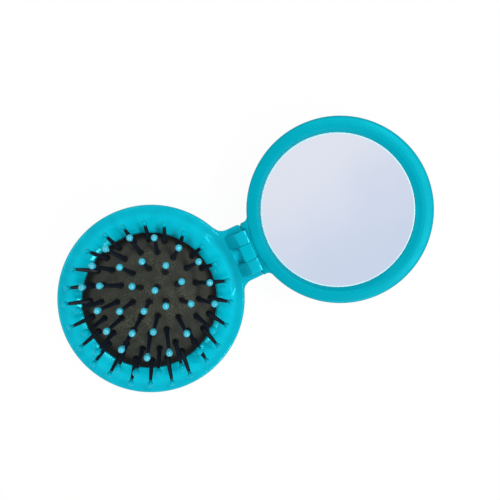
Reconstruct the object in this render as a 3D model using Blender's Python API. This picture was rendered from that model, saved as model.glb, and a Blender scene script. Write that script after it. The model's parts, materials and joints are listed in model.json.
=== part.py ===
"""Folding pocket brush with a mirror lid, lying open on a table.

The hinge axis runs along Y above the origin. The brush case is on the -X side and the mirror
lid on the +X side. All sizes are in metres, with +Z up and the table at z = 0.
"""

import math

import bmesh
import bpy
from mathutils import Matrix, Vector

# Both discs
DISC_RADIUS = 0.0350
HINGE_MARGIN = 0.0040
FIT_GAP = 0.0003
CLOSED_GAP = 0.0003
CUT_OVERRUN = 0.0020

# Case tub
CASE_HEIGHT = 0.0194
CASE_WALL = 0.0020
CASE_ROOF = 0.0022
CASE_EDGE_ROUND = 0.0008
LAND_WIDTH = 0.0036
RING_STEP_WIDTH = 0.0008
RING_WIDTH = 0.0052
RING_RISE = 0.0005
LIP_FILLET = 0.0015
LIP_STRAIGHT = 0.0002
SLEEVE_WALL = 0.0012
CASE_SIDE_HEIGHT_SHARES = (0.0, 0.10, 0.30, 0.55, 0.80)
CASE_SIDE_RADIUS_SHARES = (0.870, 0.915, 0.962, 0.990, 1.0)

# Case back ring
BACK_THICKNESS = 0.0015
BACK_WIDTH = 0.0076
BACK_EDGE_CHAMFER = 0.0004

# Push plate under the pad
FLANGE_OVERLAP = 0.0015
FLANGE_THICKNESS = 0.0010
BOSS_CLEARANCE = 0.0004
PLATE_THICKNESS = 0.0027
BOSS_EDGE_ROUND = 0.0005
FINGER_DISH_DEPTH = 0.0010
FINGER_DISH_MARGIN = 0.0036
FINGER_DISH_RADIUS_SHARES = (0, 0.5, 0.8, 1)

# Rubber pad
PAD_DOME = 0.0034
PAD_SHEET = 0.0013
PAD_EDGE_DROP = 0.0008

# Pins
PIN_LENGTH = 0.0115
RIM_PIN_LENGTH = 0.0098
PIN_ROOT_RADIUS = 0.00060
PIN_NECK_RADIUS = 0.00045
PIN_BALL_RADIUS = 0.00122
PIN_FOOT_RADIUS = 0.00080
PIN_PLATE_MARGIN = 0.0004
PIN_PHASE = math.radians(-23.8)
INNER_RING_RADIUS_SHARES = (0.239, 0.474)
INNER_RING_COUNTS = (6, 12)
INNER_RING_LEANS = (math.radians(11.5), math.radians(23.5))
MID_RING_RADIUS_SHARE = 0.713
MID_RING_COUNT = 18
MID_RING_LEAN = math.radians(33.0)
RIM_RING_RADIUS_SHARE = 0.8845
RIM_RING_COUNT = 24
RIM_RING_LEAN = math.radians(46.0)

# Mirror lid
LID_THICKNESS = 0.0060
LID_EDGE_WIDTH = 0.0016
LID_CREST_WIDTH = 0.0017
LID_FRAME_WIDTH = 0.0060
MIRROR_THICKNESS = 0.0013
MIRROR_BEVEL = 0.0004
MIRROR_RECESS = 0.0012
FOAM_MARGIN = 0.0050
FOAM_THICKNESS = 0.0005
LID_BACK_RADIUS_SHARES = (0.68, 0.86, 0.955, 0.992, 1.0, 0.992)
LID_BACK_DEPTH_SHARES = (0.97, 0.86, 0.62, 0.40, 0.24, 0.10)

# Hinge
HINGE_WIDTH = 0.0208
HINGE_SHIFT = 0.0004
KNUCKLE_RADIUS = 0.00265
KNUCKLE_LENGTH = 0.00484
LID_KNUCKLE_LENGTH = 0.00520
HINGE_PIN_RADIUS = 0.00075
PLATFORM_DROP = 0.0012
PLATFORM_HALF_WIDTH = 0.0096
TONGUE_DEPTH = 0.0060
LUG_DEPTH = 0.0038
TONGUE_FILLET = 0.0045
TONGUE_REACH = 0.0022
LUG_SETBACK = 0.0030
RAMP_FOOT = 0.0046

# Faceting and merging
DISC_SEGMENTS = 60
PAD_SEGMENTS = 48
PLATE_SEGMENTS = 36
DOME_STEPS = 3
BARREL_SEGMENTS = 24
PIN_SEGMENTS = 6
HOLE_SEGMENTS = 8
FILLET_SEGMENTS = 5
MERGE_DISTANCE = 0.000001

# Heights that follow
AXIS_HEIGHT = CASE_HEIGHT + CLOSED_GAP / 2
PLATFORM_HEIGHT = CASE_HEIGHT - PLATFORM_DROP
RING_TOP = CASE_HEIGHT + RING_RISE
LIP_BOTTOM = RING_TOP - LIP_FILLET - LIP_STRAIGHT
SLEEVE_BOTTOM = BACK_THICKNESS + FIT_GAP
FLANGE_TOP = LIP_BOTTOM - FIT_GAP
PAD_EDGE = RING_TOP - PAD_EDGE_DROP
PAD_BOTTOM = FLANGE_TOP + FIT_GAP

# Radii and offsets that follow
HINGE_OFFSET = DISC_RADIUS + HINGE_MARGIN
RING_OUTER_RADIUS = DISC_RADIUS - LAND_WIDTH - RING_STEP_WIDTH
BORE_RADIUS = RING_OUTER_RADIUS - RING_WIDTH
FLANGE_RADIUS = BORE_RADIUS + FLANGE_OVERLAP
SLEEVE_RADIUS = FLANGE_RADIUS + FIT_GAP
BACK_OUTER_RADIUS = SLEEVE_RADIUS + SLEEVE_WALL + FIT_GAP
FINGER_HOLE_RADIUS = BACK_OUTER_RADIUS - BACK_WIDTH
BOSS_RADIUS = FINGER_HOLE_RADIUS - BOSS_CLEARANCE
FINGER_DISH_RADIUS = BOSS_RADIUS - FINGER_DISH_MARGIN
PAD_RADIUS = BORE_RADIUS - FIT_GAP
INNER_RING_RADII = [PAD_RADIUS * share for share in INNER_RING_RADIUS_SHARES]
MID_RING_RADIUS = PAD_RADIUS * MID_RING_RADIUS_SHARE
RIM_RING_RADIUS = PAD_RADIUS * RIM_RING_RADIUS_SHARE
PAD_HOLLOW_RADIUS = (INNER_RING_RADII[-1] + MID_RING_RADIUS) / 2
PIN_PLATE_RADIUS = PAD_HOLLOW_RADIUS - PIN_PLATE_MARGIN
LID_CREST_OUTER_RADIUS = DISC_RADIUS - LID_EDGE_WIDTH
LID_CREST_INNER_RADIUS = LID_CREST_OUTER_RADIUS - LID_CREST_WIDTH
MIRROR_RADIUS = DISC_RADIUS - LID_FRAME_WIDTH
FOAM_RADIUS = MIRROR_RADIUS - FOAM_MARGIN
KNUCKLE_CLEARANCE_RADIUS = KNUCKLE_RADIUS + FIT_GAP

TURQUOISE = (0.0, 0.45, 0.60, 1.0)
PAD_BLACK = (0.035, 0.030, 0.027, 1.0)
PIN_BLACK = (0.006, 0.007, 0.010, 1.0)
MIRROR_SILVER = (0.85, 0.87, 0.92, 1.0)
FOAM_WHITE = (0.80, 0.80, 0.78, 1.0)
STEEL = (0.62, 0.62, 0.64, 1.0)


def clear_scene():
    """Remove whatever the scene holds."""
    for obj in list(bpy.data.objects):
        bpy.data.objects.remove(obj, do_unlink=True)


def make_material(name, colour, roughness, metallic=0.0):
    """Return a Principled material."""
    material = bpy.data.materials.new(name)
    material.use_nodes = True
    shader = material.node_tree.nodes["Principled BSDF"]
    shader.inputs["Base Color"].default_value = colour
    shader.inputs["Roughness"].default_value = roughness
    shader.inputs["Metallic"].default_value = metallic
    return material


def add_object(name, bm, colour=None, roughness=0.5, metallic=0.0, parent=None, location=(0, 0, 0)):
    """Turn a bmesh into a named object; one without a colour is a hidden tool for a Boolean."""
    bmesh.ops.recalc_face_normals(bm, faces=bm.faces)
    mesh = bpy.data.meshes.new(name)
    bm.to_mesh(mesh)
    bm.free()
    return add_mesh_object(name, mesh, colour, roughness, metallic, parent, location)


def add_mesh_object(name, mesh, colour, roughness, metallic, parent, location, rotation=(0, 0, 0)):
    """Place a mesh in the scene with its own material."""
    obj = bpy.data.objects.new(name, mesh)
    bpy.context.scene.collection.objects.link(obj)
    obj.parent = parent
    obj.location = location
    obj.rotation_euler = rotation
    if colour is None:
        obj.hide_render = True
        obj.display_type = "WIRE"
    else:
        if not mesh.materials:
            mesh.materials.append(None)
        obj.material_slots[0].link = "OBJECT"
        obj.material_slots[0].material = make_material(name, colour, roughness, metallic)
        mesh.shade_smooth()
        mesh.set_sharp_from_angle(angle=math.radians(35.0))
    return obj


def add_axis(name, location):
    """Add an empty that stands on a moving group's axis."""
    empty = bpy.data.objects.new(name, None)
    bpy.context.scene.collection.objects.link(empty)
    empty.location = location
    return empty


def combine(target, tool, operation):
    """Join a tool to the target, or cut it out."""
    modifier = target.modifiers.new(tool.name, "BOOLEAN")
    modifier.object = tool
    modifier.operation = operation
    modifier.solver = "EXACT"


def turned(profile, segments=DISC_SEGMENTS, closed=False):
    """Spin an (r, z) profile round Z; an open profile starts and ends on the axis."""
    bm = bmesh.new()
    verts = [bm.verts.new((radius, 0, height)) for radius, height in profile]
    edges = [bm.edges.new(pair) for pair in zip(verts, verts[1:])]
    if closed:
        edges.append(bm.edges.new((verts[-1], verts[0])))
    bmesh.ops.spin(bm, geom=verts + edges, cent=(0, 0, 0), axis=(0, 0, 1),
                   steps=segments, angle=math.tau, use_merge=True)
    bmesh.ops.remove_doubles(bm, verts=bm.verts, dist=MERGE_DISTANCE)
    return bm


def extruded(points, direction):
    """Extrude a flat outline by a vector."""
    bm = bmesh.new()
    face = bm.faces.new([bm.verts.new(point) for point in points])
    grown = bmesh.ops.extrude_face_region(bm, geom=[face])
    top = [item for item in grown["geom"] if isinstance(item, bmesh.types.BMVert)]
    bmesh.ops.translate(bm, verts=top, vec=Vector(direction))
    return bm


def arc(centre, radius, start, end, steps):
    """Return points along an arc, both ends included."""
    angles = [start + (end - start) * index / steps for index in range(steps + 1)]
    return [(centre[0] + radius * math.cos(a), centre[1] + radius * math.sin(a)) for a in angles]


def case_side(offset, base):
    """Return the tub's curved side, moved inwards by an offset, from a base height up."""
    points = []
    for height_share, radius_share in zip(CASE_SIDE_HEIGHT_SHARES, CASE_SIDE_RADIUS_SHARES):
        height = CASE_HEIGHT * height_share
        points.append((DISC_RADIUS * radius_share - offset, max(height, base)))
    return points


def build_case():
    """Model the tub with its lip, guide sleeve, platform and hinge knuckles."""
    lip = arc((BORE_RADIUS + LIP_FILLET, RING_TOP - LIP_FILLET), LIP_FILLET,
              math.pi / 2, math.pi, FILLET_SEGMENTS)
    edge = arc((DISC_RADIUS - CASE_EDGE_ROUND, CASE_HEIGHT - CASE_EDGE_ROUND), CASE_EDGE_ROUND,
               0, math.pi / 2, FILLET_SEGMENTS - 2)
    sleeve_outer = SLEEVE_RADIUS + SLEEVE_WALL
    roof_bottom = CASE_HEIGHT - CASE_ROOF
    seat_radius = BACK_OUTER_RADIUS + FIT_GAP
    hollow = case_side(CASE_WALL, SLEEVE_BOTTOM)[2:]
    profile = case_side(0, 0) + edge
    profile += [(RING_OUTER_RADIUS + RING_STEP_WIDTH, CASE_HEIGHT), (RING_OUTER_RADIUS, RING_TOP)]
    profile += lip + [(BORE_RADIUS, LIP_BOTTOM), (SLEEVE_RADIUS, LIP_BOTTOM)]
    profile += [(SLEEVE_RADIUS, SLEEVE_BOTTOM), (sleeve_outer, SLEEVE_BOTTOM)]
    profile += [(sleeve_outer, roof_bottom), (hollow[-1][0], roof_bottom)]
    profile += hollow[::-1] + [(seat_radius + FIT_GAP, SLEEVE_BOTTOM), (seat_radius, SLEEVE_BOTTOM)]
    profile += [(seat_radius, 0)]
    case = add_object("case_tub", turned(profile, closed=True), TURQUOISE, 0.25,
                      location=(-HINGE_OFFSET, 0, 0))
    combine(case, platform_cutter(), "DIFFERENCE")
    case_tongue = tongue("case_tongue_tool", -1, TONGUE_DEPTH, TONGUE_REACH)
    combine(case_tongue, wall_cutter(), "DIFFERENCE")
    combine(case, case_tongue, "UNION")
    for side in (-1, 1):
        combine(case, case_knuckle(side), "UNION")
    combine(case, lid_knuckle_clearance(), "DIFFERENCE")
    combine(case, bore_cutter(), "DIFFERENCE")
    return case


def platform_cutter():
    """Return the tool that lowers the land between the raised ring and the hinge."""
    radius = RING_OUTER_RADIUS + RING_STEP_WIDTH / 2
    half_angle = math.asin(PLATFORM_HALF_WIDTH / radius)
    inner = arc((-HINGE_OFFSET, 0), radius, -half_angle, half_angle, 2 * FILLET_SEGMENTS)
    outline = inner + [(0, PLATFORM_HALF_WIDTH), (0, -PLATFORM_HALF_WIDTH)]
    points = [(x, y, PLATFORM_HEIGHT) for x, y in outline]
    return add_object("platform_cutter", extruded(points, (0, 0, PLATFORM_DROP + CUT_OVERRUN)))


def wall_cutter():
    """Return the tool that ends the case's tongue inside the tub's wall."""
    radius = DISC_RADIUS - CASE_WALL / 2
    profile = [(0, 0), (radius, 0), (radius, RING_TOP), (0, RING_TOP)]
    return add_object("wall_cutter", turned(profile), location=(-HINGE_OFFSET, 0, 0))


def tongue(name, side, depth, reach):
    """Return a hinge tongue that leaves its disc (side -1 case, +1 lid) in hollow fillets."""
    half = HINGE_WIDTH / 2
    spread = DISC_RADIUS + TONGUE_FILLET
    outline = []
    for way in (1, -1):
        centre_y = half + TONGUE_FILLET
        centre_x = -HINGE_OFFSET + math.sqrt(spread ** 2 - (centre_y + way * HINGE_SHIFT) ** 2)
        centre = (centre_x, centre_y)
        disc_angle = math.atan2(-centre_y - way * HINGE_SHIFT, -HINGE_OFFSET - centre_x)
        points = arc(centre, TONGUE_FILLET, disc_angle, -math.pi / 2, FILLET_SEGMENTS)
        points.append((reach, half))
        points = [(x, way * y + HINGE_SHIFT) for x, y in points]
        outline += points if way == 1 else points[::-1]
    root = -HINGE_OFFSET + DISC_RADIUS * math.sqrt(3) / 2
    outline += [(root, -half + HINGE_SHIFT), (root, half + HINGE_SHIFT)]
    bottom = AXIS_HEIGHT - depth
    points = [(-side * x, y, bottom) for x, y in outline]
    return add_object(name, extruded(points, (0, 0, PLATFORM_HEIGHT - bottom)))


def case_knuckle(side):
    """Return one of the case's two barrels with the ramp that rises to it."""
    foot = (-RAMP_FOOT, PLATFORM_HEIGHT - AXIS_HEIGHT)
    reach = math.hypot(*foot)
    foot_angle = math.atan2(foot[1], foot[0]) + math.tau
    tangent = foot_angle - math.acos(KNUCKLE_RADIUS / reach)
    outline = arc((0, 0), KNUCKLE_RADIUS, tangent, -math.pi / 2, BARREL_SEGMENTS)
    outline += [(-RAMP_FOOT, -KNUCKLE_RADIUS), foot]
    start = HINGE_SHIFT + side * (LID_KNUCKLE_LENGTH / 2 + FIT_GAP)
    points = [(x, start, AXIS_HEIGHT + z) for x, z in outline]
    name = "case_knuckle_tool_" + ("left" if side > 0 else "right")
    return add_object(name, extruded(points, (0, side * KNUCKLE_LENGTH, 0)))


def lid_knuckle_clearance():
    """Return the tool that frees the lid's barrel from the case's tongue."""
    half = LID_KNUCKLE_LENGTH / 2 + FIT_GAP
    outline = arc((0, 0), KNUCKLE_CLEARANCE_RADIUS, math.pi / 2, math.pi, FILLET_SEGMENTS)
    outline += [(-KNUCKLE_CLEARANCE_RADIUS, -TONGUE_DEPTH - CUT_OVERRUN)]
    outline += [(HINGE_OFFSET - DISC_RADIUS, -TONGUE_DEPTH - CUT_OVERRUN)]
    outline += [(HINGE_OFFSET - DISC_RADIUS, KNUCKLE_CLEARANCE_RADIUS)]
    points = [(x, HINGE_SHIFT - half, AXIS_HEIGHT + z) for x, z in outline]
    return add_object("lid_knuckle_clearance", extruded(points, (0, 2 * half, 0)))


def bore_cutter(name="case_bore_cutter"):
    """Return the tool that bores the knuckles for the hinge pin."""
    radius = HINGE_PIN_RADIUS + FIT_GAP
    half = HINGE_WIDTH / 2 + CUT_OVERRUN
    outline = arc((0, 0), radius, 0, math.tau, BARREL_SEGMENTS // 2)[:-1]
    points = [(x, HINGE_SHIFT - half, AXIS_HEIGHT + z) for x, z in outline]
    return add_object(name, extruded(points, (0, 2 * half, 0)))


def build_back_ring():
    """Model the flat ring that closes the tub's underside round the finger hole."""
    chamfer = BACK_EDGE_CHAMFER
    profile = [(FINGER_HOLE_RADIUS + chamfer, 0), (BACK_OUTER_RADIUS, 0)]
    profile += [(BACK_OUTER_RADIUS, BACK_THICKNESS), (FINGER_HOLE_RADIUS, BACK_THICKNESS)]
    profile += [(FINGER_HOLE_RADIUS, chamfer)]
    add_object("case_back_ring", turned(profile, closed=True), TURQUOISE, 0.30,
               location=(-HINGE_OFFSET, 0, 0))


def build_push_plate(core):
    """Model the plate that a finger pushes, with its stop flange under the lip."""
    bottom = FLANGE_TOP - PLATE_THICKNESS
    flange_bottom = FLANGE_TOP - FLANGE_THICKNESS
    dish = [(FINGER_DISH_RADIUS * share, bottom + FINGER_DISH_DEPTH * (1 - share ** 2))
            for share in FINGER_DISH_RADIUS_SHARES]
    profile = dish + [(BOSS_RADIUS - BOSS_EDGE_ROUND, bottom)]
    profile += [(BOSS_RADIUS, bottom + BOSS_EDGE_ROUND), (BOSS_RADIUS, flange_bottom)]
    profile += [(FLANGE_RADIUS, flange_bottom), (FLANGE_RADIUS, FLANGE_TOP), (0, FLANGE_TOP)]
    add_object("push_plate", turned(profile), TURQUOISE, 0.30, parent=core)


def pad_surface(radius):
    """Return the height of the pad's domed top at a radius."""
    return PAD_EDGE + PAD_DOME * (1 - (radius / PAD_RADIUS) ** 2)


def dome(outer, drop, steps):
    """Return points of the pad's dome lowered by a drop, from a radius in to the axis."""
    radii = [outer * (1 - index / steps) for index in range(steps + 1)]
    return [(radius, pad_surface(radius) - drop) for radius in radii]


def pin_frame(radius, count, index, lean):
    """Return a pin's place: its foot on the pad's surface and its turn, leaning outwards."""
    angle = PIN_PHASE + math.tau * index / count
    foot = Vector((radius * math.cos(angle), radius * math.sin(angle), pad_surface(radius)))
    return foot, (0, lean, angle)


def pin_matrix(radius, count, index, lean):
    """Return a pin's place as a matrix."""
    foot, turn = pin_frame(radius, count, index, lean)
    return (Matrix.Translation(foot) @ Matrix.Rotation(turn[2], 4, "Z")
            @ Matrix.Rotation(turn[1], 4, "Y"))


def fixed_pins():
    """Return the places of the pins that keep their lean: the middle one and two rings."""
    places = [pin_matrix(0, 1, 0, 0)]
    for radius, count, lean in zip(INNER_RING_RADII, INNER_RING_COUNTS, INNER_RING_LEANS):
        places += [pin_matrix(radius, count, index, lean) for index in range(count)]
    return places


def add_copy(bm, piece, place):
    """Add a transformed copy of one bmesh to another and free it."""
    piece.transform(place)
    mesh = bpy.data.meshes.new("copy")
    piece.to_mesh(mesh)
    piece.free()
    bm.from_mesh(mesh)
    bpy.data.meshes.remove(mesh)


def pin_tip(length):
    """Return the profile of a pin's neck and ball end."""
    shoulder = PIN_BALL_RADIUS * math.sqrt(3) / 2
    return [(PIN_NECK_RADIUS, length - PIN_BALL_RADIUS), (shoulder, length - PIN_BALL_RADIUS / 2),
            (shoulder, length + PIN_BALL_RADIUS / 2), (0, length + PIN_BALL_RADIUS)]


def build_pad(core):
    """Model the domed rubber pad with holes for the fixed pins and dimples for the hinged ones."""
    hollow = dome(PAD_HOLLOW_RADIUS, PAD_SHEET, DOME_STEPS)
    profile = hollow[::-1] + [(PAD_HOLLOW_RADIUS, PAD_BOTTOM)]
    profile += [(PAD_RADIUS, PAD_BOTTOM)] + dome(PAD_RADIUS, 0, 2 * DOME_STEPS)
    pad = add_object("bristle_pad", turned(profile, segments=PAD_SEGMENTS), PAD_BLACK, 0.75, parent=core)
    cutter = bmesh.new()
    for place in fixed_pins():
        hole = bmesh.new()
        depth = PAD_SHEET + CUT_OVERRUN
        bmesh.ops.create_cone(hole, cap_ends=True, segments=HOLE_SEGMENTS,
                              radius1=PIN_ROOT_RADIUS + FIT_GAP, radius2=PIN_ROOT_RADIUS + FIT_GAP,
                              depth=2 * depth)
        add_copy(cutter, hole, place)
    for radius, count in ((MID_RING_RADIUS, MID_RING_COUNT), (RIM_RING_RADIUS, RIM_RING_COUNT)):
        for index in range(count):
            dimple = bmesh.new()
            bmesh.ops.create_uvsphere(dimple, u_segments=HOLE_SEGMENTS, v_segments=4,
                                      radius=PIN_FOOT_RADIUS + FIT_GAP)
            add_copy(cutter, dimple, pin_matrix(radius, count, index, 0))
    combine(pad, add_object("pad_hole_cutter", cutter, parent=core), "DIFFERENCE")


def build_pin_plate(core):
    """Model the plate under the pad that holds the middle pin and the two inner rings."""
    top = dome(PIN_PLATE_RADIUS, PAD_SHEET + FIT_GAP, DOME_STEPS)
    profile = [(0, PAD_BOTTOM), (PIN_PLATE_RADIUS, PAD_BOTTOM)] + top
    plate = add_object("pin_plate", turned(profile, segments=PLATE_SEGMENTS), PIN_BLACK, 0.4, parent=core)
    root = PAD_SHEET + 3 * FIT_GAP
    pins = bmesh.new()
    for place in fixed_pins():
        profile = [(0, -root), (PIN_ROOT_RADIUS, -root)] + pin_tip(PIN_LENGTH)
        add_copy(pins, turned(profile, segments=PIN_SEGMENTS), place)
    combine(plate, add_object("fixed_pins_tool", pins, parent=core), "UNION")


def build_hinged_pins(core, name, radius, count, lean, length):
    """Model a ring of pins whose ball feet turn in the pad's dimples."""
    waist = PIN_FOOT_RADIUS * math.sqrt(3) / 2
    profile = [(0, -PIN_FOOT_RADIUS), (waist, -PIN_FOOT_RADIUS / 2), (waist, PIN_FOOT_RADIUS / 2)]
    profile += [(PIN_ROOT_RADIUS, PIN_FOOT_RADIUS)] + pin_tip(length)
    bm = turned(profile, segments=PIN_SEGMENTS)
    bmesh.ops.recalc_face_normals(bm, faces=bm.faces)
    mesh = bpy.data.meshes.new(name)
    bm.to_mesh(mesh)
    bm.free()
    for index in range(count):
        foot, turn = pin_frame(radius, count, index, lean)
        add_mesh_object(f"{name}_{index + 1:02d}", mesh, PIN_BLACK, 0.4, 0.0, core, foot, turn)


def build_lid(lid_axis):
    """Model the lid with its mirror recess, crest and hinge knuckle."""
    place = (HINGE_OFFSET, 0, CASE_HEIGHT - AXIS_HEIGHT)
    recess_radius = MIRROR_RADIUS + FIT_GAP
    floor = -MIRROR_RECESS - MIRROR_THICKNESS - FOAM_THICKNESS - 2 * FIT_GAP
    back = [(DISC_RADIUS * radius_share, -LID_THICKNESS * depth_share)
            for radius_share, depth_share in zip(LID_BACK_RADIUS_SHARES, LID_BACK_DEPTH_SHARES)]
    profile = [(0, -LID_THICKNESS)] + back
    profile += [(LID_CREST_OUTER_RADIUS, 0), (LID_CREST_INNER_RADIUS, 0)]
    profile += [(recess_radius, -MIRROR_RECESS + MIRROR_BEVEL / 2), (recess_radius, floor), (0, floor)]
    lid = add_object("lid_shell", turned(profile), TURQUOISE, 0.25, parent=lid_axis, location=place)
    combine(lid, tongue("lid_lug_tool", 1, LUG_DEPTH, -LUG_SETBACK), "UNION")
    combine(lid, mirror_well_cutter(floor), "DIFFERENCE")
    combine(lid, lid_knuckle(), "UNION")
    combine(lid, bore_cutter("lid_bore_cutter"), "DIFFERENCE")
    build_mirror(lid_axis, place)


def mirror_well_cutter(floor):
    """Return the tool that keeps the mirror's well free of the hinge lug."""
    radius = MIRROR_RADIUS + FIT_GAP
    profile = [(0, floor), (radius, floor), (radius, CUT_OVERRUN), (0, CUT_OVERRUN)]
    return add_object("mirror_well_cutter", turned(profile), location=(HINGE_OFFSET, 0, CASE_HEIGHT))


def lid_knuckle():
    """Return the lid's barrel with the arm that ties it to the lug."""
    drop = PLATFORM_HEIGHT - AXIS_HEIGHT
    start = math.asin(drop / KNUCKLE_RADIUS)
    outline = arc((0, 0), KNUCKLE_RADIUS, start, 3 * math.pi / 2, BARREL_SEGMENTS)
    arm_end = HINGE_OFFSET - DISC_RADIUS
    outline += [(arm_end, -KNUCKLE_RADIUS), (arm_end, drop)]
    half = LID_KNUCKLE_LENGTH / 2
    points = [(x, HINGE_SHIFT - half, AXIS_HEIGHT + z) for x, z in outline]
    return add_object("lid_knuckle_tool", extruded(points, (0, 2 * half, 0)))


def build_mirror(lid_axis, place):
    """Model the round mirror with its bevelled edge and the foam disc behind it."""
    top = -MIRROR_RECESS
    bottom = top - MIRROR_THICKNESS
    profile = [(0, bottom), (MIRROR_RADIUS, bottom), (MIRROR_RADIUS, top - MIRROR_BEVEL / 2)]
    profile += [(MIRROR_RADIUS - MIRROR_BEVEL, top), (0, top)]
    add_object("mirror_glass", turned(profile), MIRROR_SILVER, 0.02, 1.0, lid_axis, place)
    foam_top = bottom - FIT_GAP
    profile = [(0, foam_top - FOAM_THICKNESS), (FOAM_RADIUS, foam_top - FOAM_THICKNESS)]
    profile += [(FOAM_RADIUS, foam_top), (0, foam_top)]
    add_object("mirror_foam", turned(profile, segments=PLATE_SEGMENTS), FOAM_WHITE, 0.9, 0.0, lid_axis, place)


def build_hinge_pin():
    """Model the steel pin inside the knuckles."""
    half = LID_KNUCKLE_LENGTH / 2 + KNUCKLE_LENGTH
    outline = arc((0, 0), HINGE_PIN_RADIUS, 0, math.tau, BARREL_SEGMENTS // 2)[:-1]
    points = [(x, HINGE_SHIFT - half, AXIS_HEIGHT + z) for x, z in outline]
    add_object("hinge_pin", extruded(points, (0, 2 * half, 0)), STEEL, 0.3, 1.0)


def main():
    clear_scene()
    core = add_axis("brush_slide_axis", (-HINGE_OFFSET, 0, 0))
    lid_axis = add_axis("lid_hinge_axis", (0, 0, AXIS_HEIGHT))
    build_case()
    build_back_ring()
    build_push_plate(core)
    build_pad(core)
    build_pin_plate(core)
    build_hinged_pins(core, "mid_pin", MID_RING_RADIUS, MID_RING_COUNT, MID_RING_LEAN, PIN_LENGTH)
    build_hinged_pins(core, "rim_pin", RIM_RING_RADIUS, RIM_RING_COUNT, RIM_RING_LEAN,
                      RIM_PIN_LENGTH)
    build_lid(lid_axis)
    build_hinge_pin()


main()
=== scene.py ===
"""Pocket brush with a mirror lid: detailed pieces and finishes, in a small studio."""

import json
import math

import bpy
from bpy.props import FloatProperty, FloatVectorProperty, IntProperty, PointerProperty
from mathutils import Matrix, Vector


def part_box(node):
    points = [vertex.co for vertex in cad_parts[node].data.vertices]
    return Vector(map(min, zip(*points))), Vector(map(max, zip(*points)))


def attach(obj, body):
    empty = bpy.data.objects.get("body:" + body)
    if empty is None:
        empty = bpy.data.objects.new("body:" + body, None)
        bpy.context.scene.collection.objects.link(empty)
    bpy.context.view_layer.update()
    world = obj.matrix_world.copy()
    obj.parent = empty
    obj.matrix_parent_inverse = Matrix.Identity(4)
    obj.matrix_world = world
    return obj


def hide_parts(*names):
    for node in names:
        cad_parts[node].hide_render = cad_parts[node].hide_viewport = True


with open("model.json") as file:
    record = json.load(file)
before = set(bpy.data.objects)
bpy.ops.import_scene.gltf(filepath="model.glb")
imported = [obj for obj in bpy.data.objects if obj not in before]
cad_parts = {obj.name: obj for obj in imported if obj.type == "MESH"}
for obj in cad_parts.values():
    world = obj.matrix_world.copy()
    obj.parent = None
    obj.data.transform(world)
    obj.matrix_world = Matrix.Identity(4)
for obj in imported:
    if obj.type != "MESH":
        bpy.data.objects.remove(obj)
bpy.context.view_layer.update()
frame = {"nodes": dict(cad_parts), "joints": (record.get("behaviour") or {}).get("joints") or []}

bl_info = {
    "name": "Pocket Brush with Mirror Lid",
    "version": (1, 0, 0),
    "blender": (4, 5, 0),
    "location": "View3D > Sidebar > Pocket Brush",
    "description": "Builds a folding pocket brush with a mirror lid and a small studio",
    "category": "Add Mesh",
}

JOINTS = {joint["name"]: joint for joint in frame["joints"]}
AXIS_HEIGHT = JOINTS["lid_hinge"]["pos_m"][2]
BACK_LOW, BACK_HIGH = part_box("case_back_ring")
PAD_LOW, PAD_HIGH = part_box("bristle_pad")
PLATE_LOW, PLATE_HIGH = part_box("push_plate")
MIRROR_LOW, MIRROR_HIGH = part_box("mirror_glass")
FOAM_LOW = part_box("mirror_foam")[0]
LID_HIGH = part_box("lid_shell")[1]
WIRE_LOW, WIRE_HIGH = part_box("hinge_pin")
BRUSH_X = (BACK_LOW.x + BACK_HIGH.x) / 2
LID_X = (MIRROR_LOW.x + MIRROR_HIGH.x) / 2

FIT_GAP = 0.0003
CLOSED_GAP = 0.0003
MERGE_DISTANCE = 0.000002
SEED_SIZE = 0.0003
SMOOTH_ANGLE = 32.0
MIRROR_SMOOTH_ANGLE = 4.0
FLAT_NORMAL = 0.9999

# Steps along the round stretches of each outline
EDGE_STEPS = 3
SIDE_STEPS = 4
RIM_STEPS = 10
FILLET_STEPS = 10
CORNER_STEPS = 5
ROOT_STEPS = 12
CRADLE_STEPS = 24
SWING_STEPS = 8
KNUCKLE_STEPS = 8
KNUCKLE_BACK_STEPS = 12
NOTCH_STEPS = 48
WIRE_STEPS = 32
DISH_STEPS = 10
BUTTON_STEPS = 4
RING_STEPS = 5
DOME_STEPS = 30
DOME_STEPS_TO_RIM = 27
HOLLOW_STEPS = 6
SOCKET_STEPS = 16
LID_BACK_STEPS = 6
FRAME_STEPS = 7
FOOT_STEPS = 3
BALL_STEPS = 9

# Side of the tub from the table upwards: radius and height as shares of the tub's
TUB_SIDE = ((0.870, 0.0), (0.907, 0.10), (0.941, 0.30), (0.967, 0.56), (0.985, 0.79),
            (0.995, 0.90), (1.0, 0.945))

# Back of the lid from its middle to its edge: radius and depth as shares of the lid's
LID_BACK = ((0.0, 1.0), (0.34, 0.995), (0.68, 0.97), (0.86, 0.86), (0.955, 0.62), (0.994, 0.40),
            (1.0, 0.20), (0.998, 0.10), (0.985, 0.03), (0.950, 0.0))

# Direction in degrees, level distance in metres and relative power of each light
LIGHTS = {"right_light": (-39, 0.39, 1.4), "far_right_light": (21, 0.31, 1.2),
          "near_right_light": (-87, 0.63, 1.6), "left_light": (150, 0.50, 0.9),
          "far_left_light": (93, 0.42, 0.6), "outer_left_light": (185, 0.687, 0.6)}

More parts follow.
